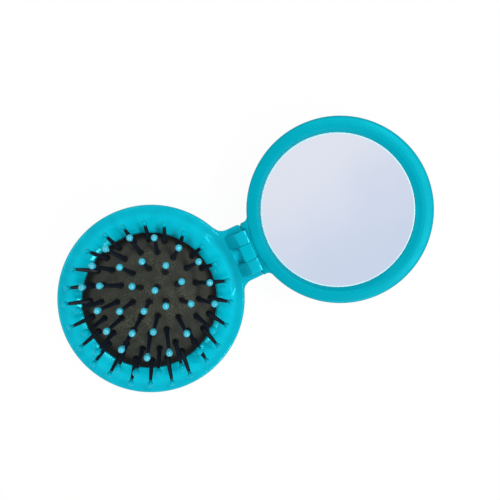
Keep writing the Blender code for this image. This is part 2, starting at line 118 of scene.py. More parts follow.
# Bends of each pin in degrees, outwards and sideways
PIN_BENDS = {
    "middle": ((0, 1),),
    "first": ((-4, 8), (-1, 1), (6, -4), (1, -1), (2, 0), (-3, -5)),
    "second": ((-2, 9), (-2, 9), (3, 5), (2, 3), (4, -1), (8, 2),
               (0, -1), (-8, -4), (-4, -3), (0, 2), (4, -3), (1, -1)),
    "mid_pin": ((0, 5), (0, 1), (3, 0), (0, 0), (4, 4), (7, 4), (6, 7), (-1, 0), (-4, 0),
                (-2, 0), (-10, 0), (-10, 0), (-7, 8), (-10, 0), (-9, 0), (2, 0), (-1, 0), (4, 0)),
    "rim_pin": ((5, 1), (7, 0), (-7, 1), (-3, 2), (-3, 6), (3, 6), (2, 3), (1, 3),
                (1, 0), (-2, 5), (7, 11), (3, 6), (6, -5), (-6, -2), (-10, 1), (-12, 2),
                (-12, -1), (-11, 5), (-12, 3), (-1, 4), (1, 0), (0, 1), (1, -5), (1, -3)),
}

# Pins of each ring whose ball ends are plain plastic
PLAIN_TIPS = {"mid_pin": range(9, 18), "rim_pin": range(24)}

# Hinge: reach of a tongue's root and rim into the wall, its sharper corner, gaps in the notch
ROOT_REACH = 0.8
RIM_REACH = 0.5
CORNER_RATIO = 3
NOTCH_GAPS = 3

# Push plate: ridge widths in its rim, and the roundings of its ridge and its rim
RIDGES_IN_RIM = 5
RIDGE_ROUND = 4
RIM_ROUND = 0.7

# Stem of a pin, as shares of its root, foot and length
FLARE_WIDTH = 1.12
FLARE_HEIGHT = 1.05
ROOT_HEIGHT = 2.0
WAIST_WIDTH = 0.86
WAIST_HEIGHT = 0.55
NECK_DEPTH = 0.7

# Ball end of a pin, as shares of its neck and ball
COLLAR_WIDTH = 1.25
COLLAR_FOOT = 1.12
COLLAR_TOP = 1.08
BALL_START = math.radians(-62)

# Painted shade and painted light by the hinge and round the ring: full strength and faded out, as
# shares of their sizes
PLATFORM_SHADE_ZONE = (0.4, 0.95)
CRADLE_LIGHT_ZONE = (0.25, 0.8)
LUG_LIGHT_ZONE = (1.0, 2.2)
RING_LIGHT_FADE = 1.5

# Finishes
HIGHLIGHT_GREEN_BLUE = (0.95, 1.0)
WHITE = (1.0, 1.0, 1.0)
PEEL_DEPTH = 0.00002
SCUFF_ROUGHNESS = 0.25
# Radii where the pad's bloom is full and where it is faint: real bloom, with painted light on the
# dome's lit crown
CROWN_BLOOM_AND_LIGHT_RADII = (0.024, 0.004)
# Radii where the painted shade in the groove at the pad's rim starts and is full
PAD_GROOVE_SHADE_RADII = (0.0215, 0.0240)
# Turn of the painted reflection across the mirror
PAINTED_REFLECTION_TURN = math.radians(-85.0)

# Studio
FLOOR_SIZE = 6.0
FLOOR_DROP = 0.0002
FLOOR_COLOUR = (0.82, 0.82, 0.82)
SKY_COLOUR = (0.97, 0.985, 1.0)
CLIP_START = 0.001


def length(name, default, description):
    """Return a size property in metres."""
    return FloatProperty(name=name, description=description, default=default, min=0.0,
                         precision=5, unit="LENGTH")


def share(name, default, description, high=1.0):
    """Return a plain factor."""
    return FloatProperty(name=name, description=description, default=default, min=0.0,
                         max=high, subtype="FACTOR")


def angle_size(name, degrees, description):
    """Return an angle property."""
    return FloatProperty(name=name, description=description, default=math.radians(degrees),
                         subtype="ANGLE")


def step_count(default, description, low, high):
    """Return a number of steps round a piece."""
    return IntProperty(name="Segments", description=description, default=default, min=low,
                       max=high)


def colour(name, default, description):
    """Return a colour property."""
    return FloatVectorProperty(name=name, description=description, default=default, size=3,
                               min=0.0, max=1.0, subtype="COLOR")


class TubSizes(bpy.types.PropertyGroup):
    """Sizes of the brush tub, its back ring and its push plate."""

    radius: length("Disc radius", LID_HIGH.y, "Outer radius of the tub and of the lid")
    height: length("Height", AXIS_HEIGHT - CLOSED_GAP / 2, "Height of the tub's land")
    wall: length("Wall", 0.0020, "Thickness of the curved side")
    roof: length("Roof", 0.0022, "Thickness under the land")
    edge_round: length("Edge rounding", 0.0010, "Rounding of the outer edge")
    ring_radius: length("Ring radius", 0.0302, "Outer radius of the raised ring's flat top")
    ring_step: length("Ring step", 0.0018, "Width of the ring's sloping outer wall")
    ring_rise: length("Ring rise", 0.0002, "Height of the ring above the land")
    ring_round: length("Ring rounding", 0.0025, "Rounding above and below the sloping wall")
    bore_radius: length("Bore radius", 0.0254, "Radius of the opening round the pad")
    lip_width: length("Lip width", 0.0026, "Width of the lip's slope before it is rounded")
    lip_fall: length("Lip fall", 0.00132, "Fall of that slope")
    lip_crown: length("Lip crown", 0.0060, "Wide rounding from the ring's top into the slope")
    lip_round: length("Lip rounding", 0.0004, "Rounding from the slope into the opening")
    lip_depth: length("Lip depth", 0.0016, "Depth of the lip in all")
    bore_back: length("Bore offset", 0.00072, "How far the opening sits away from the hinge")
    bore_side: length("Bore side offset", 0.00031, "How far it sits along the hinge")
    sleeve_radius: length("Sleeve radius", 0.0272, "Inner radius of the guide sleeve")
    sleeve_wall: length("Sleeve wall", 0.0012, "Thickness of the guide sleeve")
    platform_drop: length("Platform drop", 0.0012, "Depth of the hollow before the hinge")
    platform_inner: length("Platform half width", 0.0086, "Half width of its full depth")
    platform_outer: length("Platform reach", 0.0150, "Half width where it has faded out")
    finger_hole: length("Finger hole", 0.0211, "Radius of the hole in the back ring")
    back_chamfer: length("Back chamfer", 0.0004, "Chamfer round the finger hole")
    boss_radius: length("Boss radius", 0.0207, "Radius of the push plate's boss")
    flange: length("Flange", 0.0010, "Thickness of the push plate's flange")
    dish_radius: length("Dish radius", 0.0171, "Radius of the hollow for a fingertip")
    dish_depth: length("Dish depth", 0.0010, "Depth of the hollow for a fingertip")
    segments: step_count(240, "Steps round each disc", 48, 480)


class PadSizes(bpy.types.PropertyGroup):
    """Sizes of the rubber pad."""

    radius: length("Radius", PAD_HIGH.y, "Radius of the pad")
    edge_height: length("Edge height", 0.0191, "Height of the pad's rim above the table")
    sheet: length("Sheet", 0.0013, "Thickness over the hollow")
    hollow_radius: length("Hollow radius", 0.0149, "Radius of the hollow for the pin plate")
    plate_radius: length("Plate radius", 0.0145, "Radius of the pin plate under the pad")
    rim_width: length("Rim width", 0.0023, "Width of the rim's slope into the groove")
    rim_round: length("Rim rounding", 0.0015, "Rounding from the dome into that slope")
    rim_side: length("Rim side", 0.0004, "Height of the pad's side below the slope")
    socket_radius: length("Socket radius", 0.0013, "Radius of the dimple round each pin")
    socket_share: share("Socket flatness", 0.6, "Depth of a dimple as a share of its radius")
    segments: step_count(144, "Steps round the pad", 24, 288)


class PinSizes(bpy.types.PropertyGroup):
    """Sizes of the bristle pins."""

    length: length("Length", 0.0115, "Foot to ball centre of the middle pins")
    rim_length: length("Rim length", 0.0098, "Foot to ball centre of the rim pins")
    foot_radius: length("Foot", 0.0008, "Radius of the ball foot")
    root_radius: length("Root", 0.00085, "Stem radius above the pad")
    neck_radius: length("Neck", 0.00054, "Stem radius under the ball")
    ball_radius: length("Ball", 0.00122, "Radius of the ball end")
    rim_ball_radius: length("Rim ball", 0.00098, "Radius of the ball end of the rim pins")
    phase: angle_size("Phase", -23.8, "Turn of the whole pattern")
    lean_first: angle_size("First ring lean", 11.5, "Lean of the first ring")
    lean_second: angle_size("Second ring lean", 23.5, "Lean of the second ring")
    lean_mid: angle_size("Third ring lean", 33.0, "Lean of the third ring")
    lean_rim: angle_size("Rim ring lean", 46.0, "Lean of the rim ring")
    first_share: share("First ring", 0.239, "Radius of the first ring as a share of the pad's")
    second_share: share("Second ring", 0.474, "Radius of the second ring as a share of the pad's")
    segments: step_count(14, "Steps round a pin", 6, 32)


class LidSizes(bpy.types.PropertyGroup):
    """Sizes of the mirror lid."""

    thickness: length("Thickness", 0.0060, "Depth of the lid's shell")
    crest_radius: length("Crest radius", 0.0316, "Inner radius of the frame's crest")
    shoulder_radius: length("Shoulder radius", 0.0305, "Radius where the frame falls off steeply")
    shoulder_depth: length("Shoulder depth", 0.00010, "Fall from the crest to the shoulder")
    slope_depth: length("Slope depth", 0.00115, "Fall from the crest to the mirror")
    crest_round: length("Crest rounding", 0.0012, "Rounding of the crest's inner edge")
    shoulder_round: length("Shoulder rounding", 0.0006, "Rounding at the shoulder")
    mirror_gap: length("Mirror gap", 0.00006, "Gap round the mirror")
    recess_round: length("Recess rounding", 0.0002, "Rounding of the frame's inner edge")
    recess_back: length("Recess offset", 0.00074, "How far the mirror sits towards the hinge")
    recess_side: length("Recess side offset", 0.00012, "How far it sits along the hinge")
    mirror_bevel: length("Mirror bevel", 0.0005, "Width of the mirror's ground edge")
    segments: step_count(240, "Steps round the mirror", 48, 480)


class HingeSizes(bpy.types.PropertyGroup):
    """Sizes of the hinge between the tub and the lid."""

    width: length("Width", 0.0212, "Width of both tongues along the hinge")
    shift: length("Shift", 0.0006, "Offset of the hinge along its axis")
    fillet: length("Tub fillet", 0.0045, "Hollow rounding where the tongue leaves the tub")
    lug_fillet: length("Lid fillet", 0.0022, "Hollow rounding where the lug leaves the lid")
    case_depth: length("Case tongue depth", 0.0060, "Depth of the tub's tongue below the axis")
    lug_depth: length("Lid lug depth", 0.0038, "Depth of the lid's lug below the axis")
    lug_drop: length("Lug drop", 0.0006, "Fall from the lid's crest to its lug")
    reach: length("Reach", 0.00260, "How far the tub's tongue passes the axis")
    setback: length("Setback", 0.00267, "Distance from the axis to the ears of the lid's lug")
    lug_notch: length("Lug notch", 0.0041, "Distance from the axis to the lug behind the knuckles")
    barrel: length("Barrel", 0.00265, "Depth of the tub's knuckles below the axis")
    lid_barrel: length("Lid barrel", 0.0024, "Depth of the lid's knuckle below the axis")
    knuckle_back: length("Knuckle back", 0.00398, "Radius of the tub knuckles' far side")
    knuckle_length: length("Case knuckle", 0.00490, "Length of each knuckle on the tub")
    lid_knuckle_length: length("Lid knuckle", 0.00610, "Length of the lid's knuckle")
    ramp_foot: length("Ramp foot", 0.0048, "Distance from the axis to the foot of the ramps")
    knuckle_left: length("Knuckle start", 0.0004, "Distance from the axis to a ramp's top")
    knuckle_right: length("Knuckle end", 0.00355, "Distance from the axis to a knuckle's far side")
    knuckle_top: length("Knuckle top", 0.0021, "Height of the knuckles above the axis")
    knuckle_round: length("Knuckle rounding", 0.0011, "Rounding of the knuckles' near side")
    brow_width: length("Brow width", 0.00060, "Width of the slope on the knuckles' far upper side")
    brow_drop: length("Brow drop", 0.00016, "Fall of that slope")
    brow_round: length("Brow rounding", 0.00030, "Rounding below that slope")
    lid_knuckle_left: length("Lid knuckle start", 0.0012, "Distance to the lid knuckle's near side")
    lid_knuckle_heel: length("Lid knuckle heel", 0.0019, "Distance to the widest part of its side")
    cradle: length("Cradle", 0.0041, "Radius of the hollow that the lid's knuckle folds into")
    cradle_floor: length("Cradle floor", 0.00225, "Depth of that hollow below the axis")
    swing: length("Swing", 0.00285, "Radius of the deeper hollow round the lid's knuckle")
    corner: length("Tub corner", 0.0014, "Rounding of the tongue's corners in plan")
    lug_corner: length("Lug corner", 0.0009, "Rounding of the lug's corners in plan")
    end_gap: length("End gap", 0.00010, "Gap between neighbouring knuckles")
    soft_edge: length("Edge rounding", 0.0003, "Rounding along the tongues' upper edges")
    draft: share("Draft", 0.18, "How far the tongues' sides lean in for each part of their depth")
    knuckle_edge: length("Knuckle edge", 0.00018, "Rounding of the knuckles' ends")
    bore: length("Bore", 0.00105, "Radius of the hole for the wire")


class Finishes(bpy.types.PropertyGroup):
    """Colours and gloss of the finishes."""

    turquoise: colour("Turquoise", (0.0, 0.375, 0.495), "Moulded plastic of the tub and the lid")
    turquoise_deep: colour("Deep turquoise", (0.0, 0.352, 0.468), "Its darker clouds")
    # Painted light: paler plastic on the raised ring, where the pins shade it
    turquoise_ring_painted_light: colour("Ring turquoise", (0.0, 0.445, 0.580), "Plastic of the raised ring")
    # Painted shade: darker plastic on the platform before the hinge
    turquoise_platform_painted_shade: colour("Platform turquoise", (0.0, 0.270, 0.360), "Plastic by the hinge")
    # Painted light: paler plastic by the hinge, lifting the lid's painted shade on its lug and
    # knuckle
    turquoise_lug_painted_light: colour("Lug turquoise", (0.0, 0.325, 0.425), "Plastic of the lid by the hinge")
    # Painted light: paler plastic in the cradle, where its walls shade it
    turquoise_hollow_painted_light: colour("Hollow turquoise", (0.0, 0.560, 0.720), "Plastic of the cradle")
    tip: colour("Tips", (0.026, 0.430, 0.565), "Lacquer on the ball ends")
    stem: colour("Stems", (0.0035, 0.0070, 0.014), "Nylon of the pins")
    rubber: colour("Rubber", (0.030, 0.0325, 0.028), "Rubber of the pad")
    rubber_dust: colour("Rubber bloom", (0.130, 0.140, 0.090), "Pale bloom in its grain")
    # Painted reflection: the mirror's tone runs from this pale silver to the cool silver below
    silver: colour("Silver", (0.735, 0.765, 0.860), "Mirror at its pale side")
    silver_reflection_cool: colour("Cool silver", (0.590, 0.665, 0.815), "Mirror at its cool side")
    glass_edge: colour("Glass edge", (0.57, 0.87, 0.93), "Ground edge of the mirror")
    steel: colour("Steel", (0.60, 0.60, 0.62), "Hinge wire")
    foam: colour("Foam", (0.80, 0.80, 0.78), "Foam tape behind the mirror")
    plastic_roughness: share("Plastic roughness", 0.17, "Roughness of the turquoise plastic")
    plastic_gloss: share("Plastic gloss", 0.5, "How strongly the turquoise plastic mirrors light")
    lid_roughness: share("Lid roughness", 0.34, "Roughness of the lid's frame")
    # Painted shade: the lid's plastic is darkened as a share of the tub's
    lid_painted_shade: share("Lid shade", 0.73, "The lid's colour as a share of the tub's")
    rubber_roughness: share("Rubber roughness", 0.72, "Roughness of the rubber")


class StudioSettings(bpy.types.PropertyGroup):
    """Camera, lights and backdrop."""

    position: FloatVectorProperty(name="Camera", description="Place of the camera", size=3,
                                  default=(0.01364, 0.03919, 0.21393), unit="LENGTH")
    direction: FloatVectorProperty(name="Direction", description="Where the camera looks",
                                   default=(0.0, 0.0, -1.0), size=3, subtype="XYZ")
    upward: FloatVectorProperty(name="Upward", description="The picture's upward direction",
                                default=(0.42634, 0.90457, 0.0), size=3, subtype="XYZ")
    lens: FloatProperty(name="Lens", description="Focal length in millimetres", default=37.70,
                        min=10.0, max=200.0)
    framing: FloatVectorProperty(name="Framing", description="Shift of the picture's frame", size=2,
                                 default=(0.0322, -0.2134))
    ambient: share("Ambient", 0.27, "Strength of the light from all around", high=4.0)
    power: FloatProperty(name="Light power", description="Power of a light of strength 1",
                         default=1.05, min=0.0, unit="POWER")
    light_height: length("Light height", 0.50, "Height of the lights above the tub")
    light_length: length("Light length", 0.30, "Level side of each light")
    light_width: length("Light width", 0.055, "Rising side of each light")
    floor_glow: share("Floor glow", 0.96, "How far the floor fades to the white backdrop")


class PocketBrushSettings(bpy.types.PropertyGroup):
    """All the settings of the pocket brush."""

    tub: PointerProperty(type=TubSizes)
    pad: PointerProperty(type=PadSizes)
    pins: PointerProperty(type=PinSizes)
    lid: PointerProperty(type=LidSizes)
    hinge: PointerProperty(type=HingeSizes)
    finish: PointerProperty(type=Finishes)
    studio: PointerProperty(type=StudioSettings)


def settings():
    """Return the scene's settings."""
    return bpy.context.scene.pocket_brush


# Profiles


def arc(centre, radius, start, end, steps):
    """Return points along an arc, both ends included."""
    angles = [start + (end - start) * index / steps for index in range(steps + 1)]
    return [(centre[0] + radius * math.cos(a), centre[1] + radius * math.sin(a)) for a in angles]


def smooth_curve(points, steps):
    """Return a smooth curve that passes through every point."""
    padded = [points[0]] + list(points) + [points[-1]]
    curve = []
    for p0, p1, p2, p3 in zip(padded, padded[1:], padded[2:], padded[3:]):
        for index in range(steps):
            t = index / steps
            curve.append(tuple(
                0.5 * (2 * b + (c - a) * t + (2 * a - 5 * b + 4 * c - d) * t ** 2
                       + (3 * b - a - 3 * c + d) * t ** 3)
                for a, b, c, d in zip(p0, p1, p2, p3)))
    return curve + [tuple(points[-1])]


def rounded(corners, steps, closed=False):
    """Return an outline whose corners, given as (x, y, radius), are rounded."""
    count = len(corners)
    outline = []
    for index, (x, y, radius) in enumerate(corners):
        if radius == 0 or (not closed and index in (0, count - 1)):
            outline.append((x, y))
            continue
        here = Vector((x, y))
        before = Vector(corners[index - 1][:2]) - here
        after = Vector(corners[(index + 1) % count][:2]) - here
        half = before.angle(after) / 2
        setback = radius / math.tan(half)
        start = here + before.normalized() * setback
        middle = (before.normalized() + after.normalized()).normalized()
        centre = here + middle * radius / math.sin(half)
        first = math.atan2(start.y - centre.y, start.x - centre.x)
        turn = math.pi - 2 * half
        if before.x * after.y - before.y * after.x > 0:
            turn = -turn
        outline += arc(centre, radius, first, first + turn, steps)
    return outline


# Mesh work


def deselect():
    """Leave edit mode and let go of every object."""
    if bpy.context.object and bpy.context.object.mode != "OBJECT":
        bpy.ops.object.mode_set(mode="OBJECT")
    bpy.ops.object.select_all(action="DESELECT")


def activate(piece):
    """Select one piece and make it the active one."""
    deselect()
    piece.select_set(True)
    bpy.context.view_layer.objects.active = piece


def draw_chain(name, points):
    """Draw a chain of edges through points by extruding one vertex, and stay in edit mode."""
    deselect()
    bpy.ops.mesh.primitive_plane_add(size=SEED_SIZE, location=points[0])
    piece = bpy.context.object
    piece.name = name
    piece.data.name = name
    bpy.ops.object.mode_set(mode="EDIT")
    bpy.ops.mesh.select_mode(type="VERT")
    bpy.ops.mesh.select_all(action="SELECT")
    bpy.ops.mesh.merge(type="CENTER")
    for before, point in zip(points, points[1:]):
        step = Vector(point) - Vector(before)
        bpy.ops.mesh.extrude_vertices_move(TRANSFORM_OT_translate={"value": step})
    return piece


def close_mesh():
    """Merge doubles, turn all faces outwards and leave edit mode."""
    bpy.ops.mesh.select_all(action="SELECT")
    bpy.ops.mesh.remove_doubles(threshold=MERGE_DISTANCE)
    bpy.ops.mesh.normals_make_consistent(inside=False)
    bpy.ops.object.mode_set(mode="OBJECT")
    bpy.ops.object.transform_apply(location=True, rotation=True, scale=True)


def lathe(name, profile, steps, centre=(0, 0, 0), along="Z"):
    """Spin an (r, height) profile round an axis through the centre."""
    if along == "Z":
        points = [(centre[0] + r, centre[1], centre[2] + h) for r, h in profile]
        axis = (0, 0, 1)
    else:
        points = [(centre[0] + r, centre[1] + h, centre[2]) for r, h in profile]
        axis = (0, 1, 0)
    piece = draw_chain(name, points)
    bpy.ops.mesh.select_all(action="SELECT")
    bpy.ops.mesh.spin(steps=steps, angle=math.tau, center=centre, axis=axis)
    close_mesh()
    return piece


def slab(name, outline, push, edge=0.0, keep=None):
    """Fill a closed outline of 3-D points, extrude it and round the edges that keep allows."""
    piece = draw_chain(name, outline)
    bpy.ops.mesh.select_all(action="SELECT")
    bpy.ops.mesh.edge_face_add()
    bpy.ops.mesh.extrude_region_move(TRANSFORM_OT_translate={"value": push})
    close_mesh()
    if edge:
        round_edges(piece, edge, keep)
    return piece


def round_edges(piece, offset, keep):
    """Bevel the edges whose two ends pass a test."""
    activate(piece)
    bpy.ops.object.mode_set(mode="EDIT")
    bpy.ops.mesh.select_mode(type="EDGE")
    bpy.ops.mesh.select_all(action="DESELECT")
    bpy.ops.object.mode_set(mode="OBJECT")
    verts = piece.data.vertices
    for edge in piece.data.edges:
        first, second = (verts[index].co for index in edge.vertices)
        edge.select = keep(first, second)
    bpy.ops.object.mode_set(mode="EDIT")
    bpy.ops.mesh.bevel(offset=offset, segments=EDGE_STEPS, affect="EDGES")
    close_mesh()


def volume(piece):
    """Return a closed piece's volume."""
    piece.data.calc_loop_triangles()
    places = [vert.co for vert in piece.data.vertices]
    corners = (triangle.vertices for triangle in piece.data.loop_triangles)
    return sum(places[a].dot(places[b].cross(places[c])) for a, b, c in corners) / 6


def join_solid(piece, tool, operation):
    """Unite a piece with a tool, or cut the tool out of it, and drop the tool."""
    wanted = volume(piece) / 2
    activate(piece)
    modifier = piece.modifiers.new(tool.name, "BOOLEAN")
    modifier.object = tool
    modifier.operation = operation
    modifier.solver = "EXACT"
    bpy.ops.object.modifier_apply(modifier=modifier.name)
    if volume(piece) < wanted:
        raise RuntimeError(f"{piece.name} was lost when {tool.name} was joined to it")
    discard(tool)


def join_pieces(pieces, name):
    """Join pieces into one without cutting them."""
    activate(pieces[0])
    for piece in pieces[1:]:
        piece.select_set(True)
    bpy.ops.object.join()
    pieces[0].name = name
    pieces[0].data.name = name
    return pieces[0]


def discard(*pieces):
    """Delete pieces that only served as patterns."""
    for piece in pieces:
        bpy.data.objects.remove(piece, do_unlink=True)


def copy_to(master, name, place):
    """Copy a piece with its own mesh, moved in the mesh itself."""
    piece = master.copy()
    piece.data = master.data.copy()
    piece.name = name
    piece.data.name = name
    piece.data.transform(place)
    bpy.context.scene.collection.objects.link(piece)
    return piece


def finish_piece(piece, body, nodes, materials, angle=SMOOTH_ANGLE):
    """Shade a piece, give it its finish and tie it to its body."""
    activate(piece)
    bpy.ops.object.shade_smooth_by_angle(angle=math.radians(angle))
    piece.data.materials.clear()
    for material in materials:
        piece.data.materials.append(material)
    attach(piece, body)
    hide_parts(*nodes)


# Shader groups


def new_group(name, inputs, outputs):
    """Start a shader group with float or vector inputs and named outputs."""
    group = bpy.data.node_groups.new(name, "ShaderNodeTree")
    for label, kind, value in inputs:
        socket = group.interface.new_socket(name=label, in_out="INPUT", socket_type=kind)
        if value is not None:
            socket.default_value = value
    for label, kind in outputs:
        group.interface.new_socket(name=label, in_out="OUTPUT", socket_type=kind)
    return group, group.nodes.new("NodeGroupInput"), group.nodes.new("NodeGroupOutput")


def add_noise(tree, vector, scale, detail=3.0, roughness=0.5):
    """Add a noise texture; scale is a number or a socket."""
    noise = tree.nodes.new("ShaderNodeTexNoise")
    noise.inputs["Detail"].default_value = detail
    noise.inputs["Roughness"].default_value = roughness
    tree.links.new(vector, noise.inputs["Vector"])
    if isinstance(scale, (int, float)):
        noise.inputs["Scale"].default_value = scale
    else:
        tree.links.new(scale, noise.inputs["Scale"])
    return noise.outputs["Fac"]


def add_math(tree, operation, first, second=None):
    """Add a math node; each value is a number or a socket."""
    node = tree.nodes.new("ShaderNodeMath")
    node.operation = operation
    for index, value in enumerate((first, second)):
        if value is None:
            continue
        if isinstance(value, (int, float)):
            node.inputs[index].default_value = value
        else:
            tree.links.new(value, node.inputs[index])
    return node.outputs["Value"]


def add_range(tree, value, low, high, to_low=0.0, to_high=1.0):
    """Map a value smoothly from one range to another."""
    node = tree.nodes.new("ShaderNodeMapRange")
    node.interpolation_type = "SMOOTHSTEP"
    for label, number in (("From Min", low), ("From Max", high),
                          ("To Min", to_low), ("To Max", to_high)):
        if isinstance(number, (int, float)):
            node.inputs[label].default_value = number
        else:
            tree.links.new(number, node.inputs[label])
    tree.links.new(value, node.inputs["Value"])
    return node.outputs["Result"]


def add_mix(tree, factor, first, second):
    """Mix two colours, each a tuple or a socket."""
    node = tree.nodes.new("ShaderNodeMix")
    node.data_type = "RGBA"
    tree.links.new(factor, node.inputs["Factor"])
    for socket, value in ((node.inputs[6], first), (node.inputs[7], second)):
        if isinstance(value, bpy.types.NodeSocket):
            tree.links.new(value, socket)
        else:
            socket.default_value = (*value, 1.0)
    return node.outputs[2]


def scaled(colour, factor):
    """Return a colour made lighter or darker."""
    return [value * factor for value in colour]


def add_distance(tree, vector, centre):
    """Return the distance of every place from a centre."""
    place = tree.nodes.new("ShaderNodeMapping")
    place.inputs["Location"].default_value = [-value for value in centre]
    tree.links.new(vector, place.inputs["Vector"])
    spread = tree.nodes.new("ShaderNodeVectorMath")
    spread.operation = "LENGTH"
    tree.links.new(place.outputs["Vector"], spread.inputs[0])
    return spread.outputs["Value"]


def moulding_group():
    """Return the shared surface of moulded plastic: flow clouds, orange peel and fine scuffs."""
    name = "moulding_surface"
    if name in bpy.data.node_groups:
        return bpy.data.node_groups[name]
    group, source, out = new_group(
        name,
        [("Vector", "NodeSocketVector", None), ("Cloud Scale", "NodeSocketFloat", 60.0),
         ("Peel Scale", "NodeSocketFloat", 900.0), ("Scuff Scale", "NodeSocketFloat", 2600.0),
         ("Scuffs", "NodeSocketFloat", 0.5)],
        [("Cloud", "NodeSocketFloat"), ("Scuff", "NodeSocketFloat"), ("Height", "NodeSocketFloat")])
    vector = source.outputs["Vector"]
    cloud = add_range(group, add_noise(group, vector, source.outputs["Cloud Scale"]),
                      low=0.35, high=0.68)
    peel = add_noise(group, vector, source.outputs["Peel Scale"], detail=2.0)
    stretch = group.nodes.new("ShaderNodeMapping")
    stretch.inputs["Rotation"].default_value = (0.4, 0.2, 0.7)
    stretch.inputs["Scale"].default_value = (0.06, 1.0, 0.6)
    group.links.new(vector, stretch.inputs["Vector"])
    hair = add_noise(group, stretch.outputs["Vector"], source.outputs["Scuff Scale"], detail=1.0)
    lines = add_range(group, hair, low=0.66, high=0.74)
    patches = add_range(group, add_noise(group, vector, scale=110.0, detail=2.0),
                        low=0.52, high=0.70)
    scuff = add_math(group, "MULTIPLY", add_math(group, "MULTIPLY", lines, patches),
                     source.outputs["Scuffs"])
    height = add_math(group, "SUBTRACT", peel, add_math(group, "MULTIPLY", scuff, 0.6))
    group.links.new(cloud, out.inputs["Cloud"])
    group.links.new(scuff, out.inputs["Scuff"])
    group.links.new(height, out.inputs["Height"])
    return group


def grain_group():
    """Return the shared fine grain of rubber, nylon and foam."""
    name = "fine_grain"
    if name in bpy.data.node_groups:
        return bpy.data.node_groups[name]
    group, source, out = new_group(
        name,
        [("Vector", "NodeSocketVector", None), ("Grain Scale", "NodeSocketFloat", 2400.0),
         ("Bloom Scale", "NodeSocketFloat", 130.0), ("Bloom", "NodeSocketFloat", 0.5)],
        [("Grain", "NodeSocketFloat"), ("Bloom", "NodeSocketFloat"), ("Height", "NodeSocketFloat")])
    vector = source.outputs["Vector"]
    cells = group.nodes.new("ShaderNodeTexVoronoi")
    group.links.new(vector, cells.inputs["Vector"])
    group.links.new(source.outputs["Grain Scale"], cells.inputs["Scale"])
    specks = add_noise(group, vector, source.outputs["Grain Scale"], detail=2.0)
    speck = add_range(group, specks, low=0.42, high=0.66)
    drift = add_noise(group, vector, source.outputs["Bloom Scale"], detail=4.0, roughness=0.6)
    clouds = add_range(group, drift, low=0.38, high=0.70)
    bloom = add_math(group, "MULTIPLY", add_math(group, "MULTIPLY", clouds, speck),
                     source.outputs["Bloom"])
    group.links.new(speck, out.inputs["Grain"])
    group.links.new(bloom, out.inputs["Bloom"])
    group.links.new(add_math(group, "ADD", cells.outputs["Distance"], speck), out.inputs["Height"])
    return group


def new_material(name):
    """Start a material and return it with its tree, shader and Object coordinates."""
    material = bpy.data.materials.new(name)
    material.use_nodes = True
    tree = material.node_tree
    place = tree.nodes.new("ShaderNodeTexCoord")
    return material, tree, tree.nodes["Principled BSDF"], place.outputs["Object"]


def use_group(tree, group, vector, **values):
    """Place a shader group in a material with its own values."""
    node = tree.nodes.new("ShaderNodeGroup")
    node.node_tree = group
    tree.links.new(vector, node.inputs["Vector"])
    for label, value in values.items():
        node.inputs[label.replace("_", " ")].default_value = value
    return node


def add_bump(tree, shader, height, strength, distance=PEEL_DEPTH):
    """Feed a height to the shader's normal."""
    bump = tree.nodes.new("ShaderNodeBump")
    bump.inputs["Strength"].default_value = strength
    bump.inputs["Distance"].default_value = distance
    tree.links.new(height, bump.inputs["Height"])
    tree.links.new(bump.outputs["Normal"], shader.inputs["Normal"])


def plastic_material(name, pale, deep, roughness, tint, gloss, clouds=60.0, scuffs=0.5,
                     peel=0.10):
    """Return glossy moulded plastic with its own cloud scale and scuffs."""
    material, tree, shader, vector = new_material(name)
    surface = use_group(tree, moulding_group(), vector, Cloud_Scale=clouds, Scuffs=scuffs)
    base = add_mix(tree, surface.outputs["Cloud"], deep, pale)
    tree.links.new(base, shader.inputs["Base Color"])
    rough = add_math(tree, "MULTIPLY", surface.outputs["Scuff"], SCUFF_ROUGHNESS)
    rough = add_math(tree, "ADD", rough, add_range(tree, surface.outputs["Cloud"], 0.0, 1.0,
                                                   roughness * 1.15, roughness * 0.9))
    tree.links.new(rough, shader.inputs["Roughness"])
    shader.inputs["Specular Tint"].default_value = (*tint, 1.0)
    shader.inputs["Specular IOR Level"].default_value = gloss
    add_bump(tree, shader, surface.outputs["Height"], peel)
    return material


def rubber_material(name, base, bloom, roughness, centre):
    """Return fine-grained black rubber, paler with bloom towards its crown, partly painted light
    there, and with painted shade in the groove at its rim.
    """
    material, tree, shader, vector = new_material(name)
    grain = use_group(tree, grain_group(), vector, Grain_Scale=2100.0, Bloom_Scale=170.0,
                      Bloom=0.75)
    distance = add_distance(tree, vector, centre)
    # Bloom in the grain, strongest on the crown: real bloom, and painted light where the dome's top
    # is lit
    crown = add_range(tree, distance, *CROWN_BLOOM_AND_LIGHT_RADII, to_low=0.30)
    bloom_and_painted_light = add_math(tree, "MULTIPLY", grain.outputs["Bloom"], crown)
    # Painted shade: the rubber turns near black in the groove at the pad's rim
    rim = add_range(tree, distance, *PAD_GROOVE_SHADE_RADII)
    field = add_mix(tree, bloom_and_painted_light, base, bloom)
    tree.links.new(add_mix(tree, rim, field, scaled(base, 0.12)), shader.inputs["Base Color"])
    rough = add_range(tree, grain.outputs["Grain"], 0.0, 1.0, roughness - 0.12, roughness + 0.06)
    tree.links.new(rough, shader.inputs["Roughness"])
    shader.inputs["Specular IOR Level"].default_value = 0.08
    add_bump(tree, shader, grain.outputs["Height"], 0.35, distance=0.00008)
    return material


